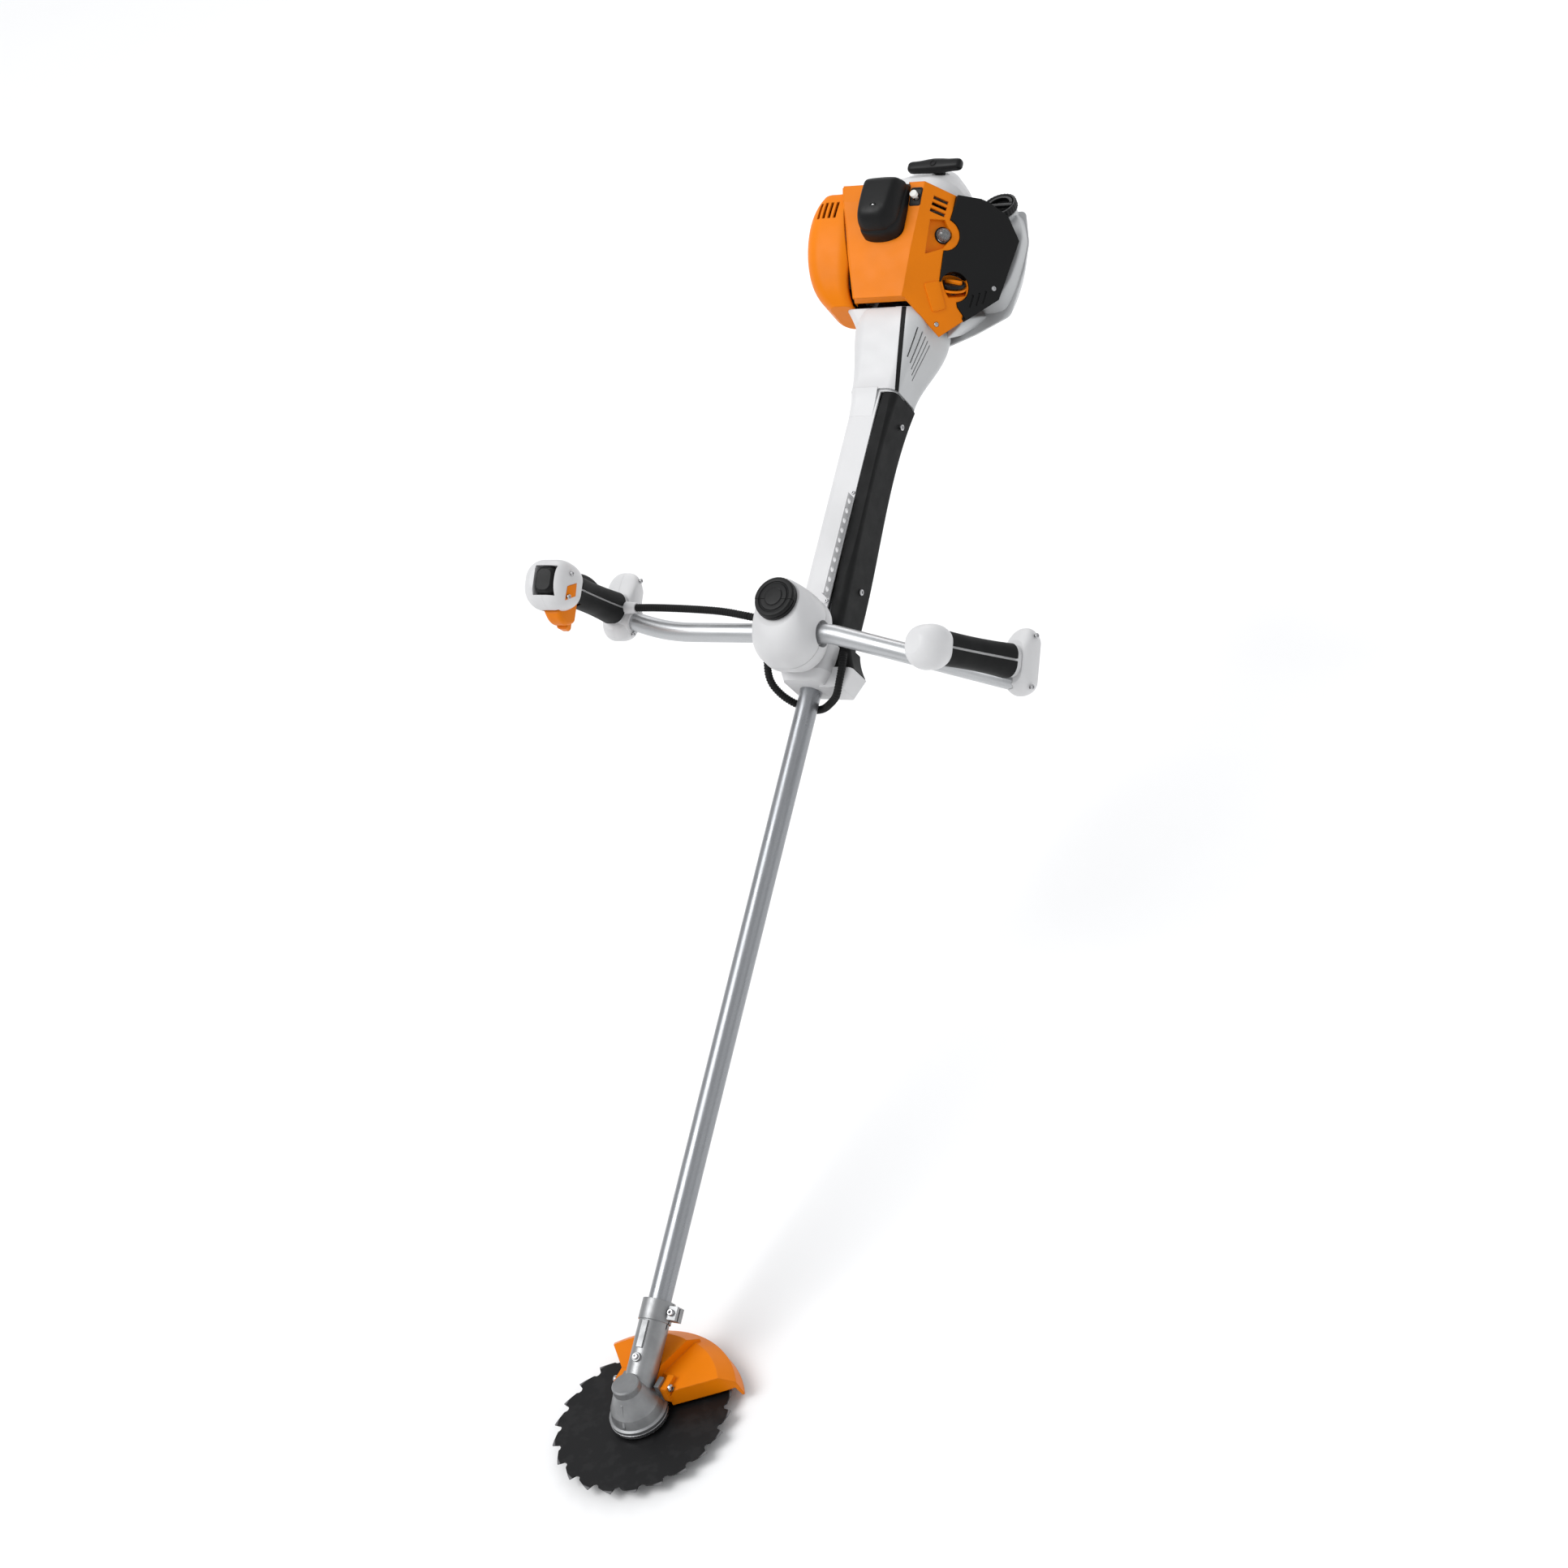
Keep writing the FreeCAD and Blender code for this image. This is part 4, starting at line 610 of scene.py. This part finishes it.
def peeled(node, planes, lift, thickness, seen_from=None):
    """A sheet over the faces of a node that look outwards, or along seen_from, inside some planes.

    Each plane is a (point, outward direction)."""
    made = bmesh.new()
    made.from_mesh(frame["nodes"][node].data)
    bmesh.ops.transform(made, matrix=frame["nodes"][node].matrix_world, verts=made.verts)
    bmesh.ops.remove_doubles(made, verts=made.verts, dist=0.00001)
    for point, outward in planes:
        everything = [*made.verts, *made.edges, *made.faces]
        bmesh.ops.bisect_plane(made, geom=everything, plane_co=point, plane_no=outward, clear_outer=True)
    axis_point = place(0, 0, 0)
    inner = []
    for face in made.faces:
        offset = face.calc_center_median() - axis_point
        offset -= ALONG * offset.dot(ALONG)
        if face.normal.dot(seen_from or offset.normalized()) < 0.3:
            inner.append(face)
    bmesh.ops.delete(made, geom=inner, context="FACES")
    made.normal_update()
    for vert in made.verts:
        vert.co += vert.normal * lift * MM
    bmesh.ops.solidify(made, geom=list(made.faces), thickness=thickness * MM)
    made.verts.index_update()
    result = [vert.co.copy() for vert in made.verts]
    kept = [tuple(vert.index for vert in face.verts) for face in made.faces]
    made.free()
    return result, kept


def hood():
    """The white hood over the funnel's top and left side, with a black band along its right edge: painted
    shade in the gap between hood and funnel.
    """
    across = direction(*HOOD_ACROSS)
    floor_cut = (place(0, -34, 1400), direction(0, -1, 0))
    back_cut = (place(0, 0, 1451.5), direction(0, 0, 1))
    edge = place(*HOOD_EDGE)
    sheet = peeled("clutch_housing", [(edge - across * 3.0 * MM, across), floor_cut, back_cut], 1.5, 1.4)
    piece("funnel_hood", sheet, "white_plastic", ROOT)
    # a black sheet in the gap along the hood's right edge, standing for the shade there: painted shade
    gap_right = (edge + across * 2.4 * MM, across)
    gap_left = (edge - across * 3.6 * MM, -across)
    painted_gap_shade = peeled("clutch_housing", [gap_right, gap_left, back_cut], 0.35, 0.3)
    piece("hood_gap_painted_shade", painted_gap_shade, "black_rubber", ROOT)


# (along, left side, top, corner radius) of the skirt, from the shaft cover up to the hood
SKIRT_SECTIONS = [(1300, -31.2, 31.2, 12.0), (1322, -32.6, 32.6, 13.0), (1341, -35.3, 35.3, 14.0)]


def hood_skirt():
    """The white skirt that carries the hood's left and top sides smoothly down to the shaft cover."""
    verts = []
    rings = []
    for along, left, top, radius in SKIRT_SECTIONS:
        start = len(verts)
        for depth in (0.0, 1.0):
            bend = []
            for step in range(9):
                angle = math.radians(180 - 90 * step / 8)
                reach = radius - depth
                bend.append((left + radius + reach * math.cos(angle), top - radius + reach * math.sin(angle)))
            line = [(left + depth, -26.0), *bend, (SKIRT_RIGHT, top - depth)]
            if depth:
                line.reverse()
            verts += [place(side, level, along) for side, level in line]
        rings.append(list(range(start, len(verts))))
    ends = [tuple(rings[0]), tuple(rings[-1])]
    piece("hood_skirt", (verts, ring_faces(rings) + ends), "white_plastic", ROOT)


def decompression_plate():
    """The black inset round the decompression button, sunk in the sloping top facet."""
    where = seat((33, 92.6, 1592), (1, -0.02, 0), (0.02, 1, -0.17))
    corners = softened([(-8.5, -13), (8.5, -13), (8.5, 13), (-8.5, 13)], 3.0, 9)
    outer = [tuple(point) for point in spaced([Vector(point) for point in corners + corners[:1]], 0.8)][:-1]
    rings = [(1.0, -1.5), (1.0, 1.2), (0.93, 1.9), (0.84, 1.9), (0.80, 1.2)]
    verts = []
    for scale, level in rings:
        verts += [Vector((x * scale, y * scale, level)) for x, y in outer]
    count = len(outer)
    for level in (1.2, -1.5):
        for x, y in outer:
            length = math.hypot(x, y)
            verts.append(Vector((x / length * 5.4, y / length * 5.4, level)))
    numbers = [list(range(count * index, count * (index + 1))) for index in range(len(rings) + 2)]
    piece("decompression_plate", shifted((verts, ring_faces(numbers)), where), "black_plastic", ROOT)


# ---- tank and cap ----
TANK_TOP = [(-95, 1474), (46, 1448), (86, 1466), (130, 1492), (135, 1560), (132, 1604), (116, 1654),
            (66, 1654), (62, 1640), (-95, 1640)]
TANK_FLOOR = [(-80, 1508), (24, 1488), (66, 1498), (106, 1520), (112, 1560), (111, 1598), (94, 1632),
              (66, 1632), (60, 1630), (-80, 1630)]
TANK_SIDE = [(88, 1502), (116, 1508), (129, 1536), (133, 1570), (132, 1604), (116, 1640), (88, 1640)]
TANK_SIDE_FOOT = [(84, 1492), (124, 1496), (131, 1530), (133, 1566), (132, 1604), (116, 1646), (84, 1646)]
CAP_BASE = (92, -27, 1642)
CAP_DIR = (0.0, 0.935, 0.355)


def between(first, second, share):
    return [tuple(a + (b - a) * share for a, b in zip(one, two)) for one, two in zip(first, second)]


def shrunk(outline, amount):
    middle_x = sum(x for x, y in outline) / len(outline)
    middle_y = sum(y for x, y in outline) / len(outline)
    result = []
    for x, y in outline:
        reach = math.hypot(x - middle_x, y - middle_y)
        share = 1 - amount / reach
        result.append((middle_x + (x - middle_x) * share, middle_y + (y - middle_y) * share))
    return result


def moulded_body(name, levels, reach, look, body, stands_for=()):
    """A soft-cornered hollow moulding through (top, outline) levels, smoothed by subdivision."""
    verts = []
    rings = []
    for top, outline in levels:
        start = len(verts)
        verts += [place(side, top, along) for side, along in cornered(outline, reach)]
        rings.append(list(range(start, len(verts))))
    faces = ring_faces(rings) + [tuple(rings[0]), tuple(rings[-1])]
    made = piece(name, (verts, faces), look, body, stands_for, 60)
    smooth = made.modifiers.new("smooth", "SUBSURF")
    smooth.levels = 2
    smooth.render_levels = 2
    return made


def tank():
    levels = [(-49.5, shrunk(TANK_TOP, 1.0)), (-50.5, TANK_TOP), (-56, between(TANK_TOP, TANK_FLOOR, 0.12)),
              (-90, between(TANK_TOP, TANK_FLOOR, 0.84)), (-97, shrunk(TANK_FLOOR, 4)),
              (-98, shrunk(TANK_FLOOR, 9))]
    moulded_body("tank_body", levels, 7.0, "tank_plastic", ROOT, ["fuel_tank"])
    levels = [(-31.5, shrunk(TANK_SIDE, 4)), (-32.3, shrunk(TANK_SIDE, 1)),
              (-36, between(TANK_SIDE, TANK_SIDE_FOOT, 0.2)),
              (-49, between(TANK_SIDE, TANK_SIDE_FOOT, 0.9)), (-52, TANK_SIDE_FOOT)]
    moulded_body("tank_shoulder", levels, 5.0, "tank_plastic", ROOT)
    upper = [(64, 1434), (83, 1456), (83, 1470), (62, 1474)]
    lower = [(62, 1464), (84, 1478), (100, 1496), (62, 1496)]
    levels = [(-12, shrunk(upper, 2)), (-13, upper), (-50, between(upper, lower, 0.93)), (-53, lower)]
    moulded_body("tank_nose", levels, 3.0, "tank_plastic", ROOT)
    seam = slab(softened(TANK_TOP, 7.0), -1.3, 1.3, 0.9)
    flange = seat((0, -50.6, 0), (1, 0, 0), (0, 1, 0))
    piece("tank_seam", shifted(seam, flange), "tank_plastic", ROOT)
    profile = [(21, -26), (21, -3.5), (22.4, -3.0), (22.4, -1.4), (20.4, -1.0), (20.4, 0), (16.3, 0),
               (16.3, -24)]
    neck = soft_lathe(profile, 0.7)
    piece("tank_neck", shifted(neck, seat(CAP_BASE, (1, 0, 0), CAP_DIR)), "tank_plastic", ROOT)


def fuel_cap():
    where = seat(CAP_BASE, (1, 0, 0), CAP_DIR)
    profile = [(0, -17), (15.8, -17), (15.8, 0.4), (24.5, 0.4), (24.5, 10.4), (20.4, 10.4), (20.0, 5.0),
               (0, 5.0)]
    cap = soft_lathe(profile, 0.9, lobes=30, lobe_depth=0.7, lobe_from=22.0, turns=180)
    web = slab(softened([(-19.8, -3), (19.8, -3), (19.8, 3), (-19.8, 3)], 1.2), 4.5, 10.0, 0.8)
    piece("fuel_cap_body", shifted(merged(cap, web), where), "black_plastic", "fuel_cap", ["fuel_cap"])


# ---- starter ----
def starter_grip():
    where = seat((25.5, 54.0, 1665.0), (0, 1, 0), (1, 0, 0))
    ends = [(40, 0.50), (39.2, 0.72), (37.4, 0.88), (34, 0.97), (22, 1.0)]
    sections = [(-z, 0, 0, 7 * share, 8 * share) for z, share in ends]
    sections += [(-10, 0, -0.3, 7.5, 9.1), (0, 0, -0.5, 8, 9.5), (10, 0, -0.3, 7.5, 9.1)]
    sections += [(z, 0, 0, 7 * share, 8 * share) for z, share in reversed(ends)]
    bar = shifted(oval_loft(sections), where)
    piece("starter_grip_bar", bar, "black_plastic", "starter", ["starter_grip"])
    upward = seat((25.5, 54.0, 1665.0), (1, 0, 0), (0, 1, 0))
    profile = [(2.0, -20), (6.2, -20), (6.6, -17.5), (6.2, -16.5), (7.0, -13.5), (6.5, -12.5), (7.6, -9.0),
               (8.2, -5), (0, -4)]
    stem = soft_lathe(profile, 0.6)
    piece("starter_grip_stem", shifted(stem, upward), "black_rubber", "starter")
    eye = soft_lathe([(0, 7.4), (2.7, 7.4), (2.9, 8.5), (4.6, 8.6), (4.9, 7.2), (0, 7.0)], 0.3)
    piece("starter_grip_eye", shifted(eye, upward), "black_rubber", "starter")


# ---- clamp knob ----
def clamp_knob():
    """A thumb knob: a grooved half disc on a base, a hub, and a wing that lies in the other half."""
    where = seat((0, 124.4, 987), (1, 0, 0), (0, 1, 0))
    groove = [(18.4, 12.0), (19.2, 10.6), (20.6, 10.6), (21.4, 12.0)]
    top = soft_lathe([(0, 12.0), *groove, (26.5, 12.0), (28, 9.5), (28, 5.0), (0, 5.0)], 0.5, turns=144,
                     lobes=36, lobe_depth=0.35, lobe_from=27.0)
    base = soft_lathe([(0, 0), (27.0, 0), (28, 1.0), (28, 6.0), (0, 6.0)], 0.5)
    hub = soft_lathe([(12.4, 5.0), (12.4, 12.2), (11.4, 13.0), (0, 13.0)], 0.5)
    stud = soft_lathe([(0, -99), (4, -99), (4, 0), (0, 0)], 0.4, turns=32)
    knob = merged(half_of(top, -3.0, True), base, hub)
    piece("knob_body", shifted(knob, where), "black_plastic", "knob", ["clamp_knob"])
    piece("knob_stud", shifted(stud, where), "steel", "knob")
    profile = [(10.2, 6.6), (10.2, 12.0), *groove, (26.0, 12.0), (27.4, 9.8), (27.4, 6.6), (10.2, 6.6)]
    wing = half_of(soft_lathe(profile, 0.4, turns=144), -3.6, False)
    piece("knob_wing", shifted(wing, where), "black_plastic", "knob_wing", ["knob_bail"])


# ---- hoses ----
UPPER_HOSE = [(-238, 93, 991), (-200, 96, 990), (-150, 95, 989), (-100, 93, 987), (-62, 89, 982)]
LOWER_HOSE = [(-61.6, 88.9, 981.9), (-51, 87.7, 980.5), (-50, 68, 989), (-50, 50, 975), (-50, 44, 948),
              (-46, 30, 918), (-31, 6, 905), (-9, -25, 903), (14, -18, 902), (36, 2, 904),
              (52, 20, 905), (57, 30, 918), (56, 30, 940), (52, 28, 960)]
RIB_PITCH_STEPS = 6


def corrugated(points):
    path = spaced(eased([place(*point) for point in points], 0.03, 8), 0.0006)
    return sweep(path, lambda index: (4.75 + 0.4 * math.cos(2 * math.pi * index / RIB_PITCH_STEPS)) * MM)


def hoses():
    piece("hose_upper", corrugated(UPPER_HOSE), "black_rubber", "handlebar", ["control_hose_upper"])
    lower = piece("hose_lower", corrugated(LOWER_HOSE), "black_rubber", None, ["control_hose_lower"])
    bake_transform(lower)


# ---- control handle trim ----
def control_trim():
    """The orange flash on the head's flank, and the white boot where the hose leaves the handle."""
    middle = place(-265, 221, 964)
    rightward = direction(0.855, -0.465, 0.229)
    upward = direction(-0.035, 0.389, 0.920)
    outline = [(12.5, -6.0), (23.0, -1.5), (21.5, -18.0), (9.5, -23.5)]
    planes = []
    for (x, y), (next_x, next_y) in zip(outline, outline[1:] + outline[:1]):
        outward = (rightward * (y - next_y) + upward * (next_x - x)).normalized()
        planes.append((middle + (rightward * x + upward * y) * MM, outward))
    flash = peeled("control_cover", planes, 0.5, 0.5, rightward.cross(upward))
    piece("control_flash", flash, "orange_plastic", "handlebar")
    boot = soft_lathe([(0, -26), (9.0, -26), (8.4, -12), (7.2, 4), (6.2, 6), (4.2, 6), (4.2, 0), (0, 0)], 1.0)
    where = seat(UPPER_HOSE[0], (0, 1, 0), (0.997, 0.07, -0.03))
    piece("hose_boot", shifted(boot, where), "white_plastic", "handlebar")


# ---- screws ----
CONTROL = seat((-268, 79, 993), (1, 0, 0), (0.0, 0.978, -0.208))
LEFT = seat((330, 82, 926), (1, 0, 0), (-0.390, 0.885, -0.250))


def screws():
    """Star-socket screws where the CAD has its plain ones, shanks included."""
    shank = lathe([(0, -8), (0.55, -8), (0.55, 0), (0, 0)], turns=16)
    up = (0, 1, 0)
    seats = [(seat((24, 6, 109.5), (1, 0, 0), up), 4.2, 4.4), (seat((0, 21.6, 50), (1, 0, 0), up), 3.6, 2.4)]
    seats += [(seat((36.4, -2, along), up, (1, 0, 0)), 4.2, 2.3) for along in (1300, 1060)]
    seats += [(seat((10.5, 31.8, along), (1, 0, 0), up), 2.6, 1.9) for along in (1031.5, 1186.5)]
    for side in (-1, 1):
        seats.append((seat_on(head_place(side * 37.3, 26, 4), Vector((0, 0, 1)), SIDE * side), 4.5, 3.8))
    parts = [shifted(merged(star_screw(radius, height), shank), where) for where, radius, height in seats]
    piece("housing_star_screws", merged(*parts), "steel", ROOT, ["housing_screws"])
    control_spots = ((30.5, -20, 158), (30.5, 10, 158), (22.4, -29, -6), (22.4, 42, -6))
    left_spots = ((20.4, -29, -8), (20.4, 33, -8))
    spots = [CONTROL @ Matrix.Translation(spot) for spot in control_spots]
    spots += [LEFT @ Matrix.Translation(spot) for spot in left_spots]
    outward = Matrix.Rotation(math.radians(90), 4, "Y")
    parts = [shifted(merged(star_screw(3.2, 1.5), shank), where @ outward) for where in spots]
    piece("handle_star_screws", merged(*parts), "steel", "handlebar", ["handle_screws"])


def gearbox_trim():
    """The machined edge of the gearbox flange."""
    where = seat_on(head_place(0, 0, 0), SIDE, Vector((0, 0, 1)))
    flange = soft_lathe([(35.0, -21.6), (36.5, -21.6), (36.5, -17.4), (35.0, -17.4)], 0.4, turns=120)
    piece("gearbox_flange_ring", shifted(flange, where), "steel", ROOT)


# ---- camera, light and floor ----
# the lens in mm, and where it stands in the shaft frame
CAMERA_LENS = 68.3
CAMERA_PLACE = (1935.8, 2985.0, -397.7)


def camera():
    data = bpy.data.cameras.new("photo_camera")
    data.lens = CAMERA_LENS
    data.clip_end = 60.0
    made = bpy.data.objects.new("photo_camera", data)
    right = SIDE * 0.855 + TOP * -0.465 + ALONG * 0.229
    up = SIDE * -0.035 + TOP * 0.389 + ALONG * 0.920
    right.normalize()
    up = (up - right * up.dot(right)).normalized()
    back = right.cross(up)
    turn = Matrix((right, up, back)).transposed().to_4x4()
    made.matrix_world = Matrix.Translation(place(*CAMERA_PLACE)) @ turn
    bpy.context.scene.collection.objects.link(made)
    bpy.context.scene.camera = made


def area_light(name, where, target, size, power):
    data = bpy.data.lights.new(name, "AREA")
    data.shape = "DISK"
    data.size = size
    data.energy = power
    made = bpy.data.objects.new(name, data)
    made.location = where
    made.rotation_euler = (Vector(target) - Vector(where)).to_track_quat("-Z", "Y").to_euler()
    bpy.context.scene.collection.objects.link(made)


def sun(direction_from, power, width_deg):
    """A distant soft light, so that the floor is as bright everywhere."""
    data = bpy.data.lights.new("key_sun", "SUN")
    data.energy = power
    data.angle = math.radians(width_deg)
    made = bpy.data.objects.new("key_sun", data)
    made.rotation_euler = (-Vector(direction_from)).to_track_quat("-Z", "Y").to_euler()
    bpy.context.scene.collection.objects.link(made)


def studio():
    middle = (0.0, -0.1, 0.0)
    sun((-0.5, -0.45, 1.0), 1.75, 38.0)
    area_light("fill", (3.4, -0.8, 1.6), middle, 3.0, 6.0)
    area_light("rim", (-1.0, 3.2, 2.2), middle, 2.4, 34.0)
    world = bpy.data.worlds.new("studio")
    world.use_nodes = True
    sky = world.node_tree.nodes["Background"]
    sky.inputs["Color"].default_value = (0.97, 0.98, 1.0, 1.0)
    sky.inputs["Strength"].default_value = 0.62
    bpy.context.scene.world = world
    bpy.context.scene.view_settings.view_transform = "Standard"
    mesh = bpy.data.meshes.new("floor")
    reach = 30.0
    corners = [(x * reach, y * reach, FLOOR_Z) for x, y in ((-1, -1), (1, -1), (1, 1), (-1, 1))]
    mesh.from_pydata(corners, [], [(0, 1, 2, 3)])
    floor = bpy.data.objects.new("floor", mesh)
    paint = Paint("floor_look", (0.93, 0.93, 0.93), 0.8)
    paint.rough(paint.mapped_range(paint.noise(3.0), 0.3, 0.7, 0.75, 0.9))
    mesh.materials.append(paint.material)
    bpy.context.scene.collection.objects.link(floor)


def dress_cad_nodes():
    """Every CAD node takes the look of its own material slot, and the bar its own brighter anodising."""
    bar = drawn_tube("handlebar_look", (0.0, 0.0, math.radians(90.0)), (0.50, 0.51, 0.52), 0.34).material
    slots = {part["node"]: part["material_slot"] for part in frame["record"]["subparts"]}
    for name, made in frame["nodes"].items():
        look = bar if name == "handlebar_tube" else LOOKS[slots[name]].material
        for slot in made.material_slots:
            slot.link = "OBJECT"
            slot.material = look


camera()
studio()
dress_cad_nodes()
for build in (purge, choke, facet_trim, plug_cover, seam_filler, hood, hood_skirt, decompression_plate, tank,
              fuel_cap, starter_grip, clamp_knob, hoses, control_trim, screws, gearbox_trim):
    build()
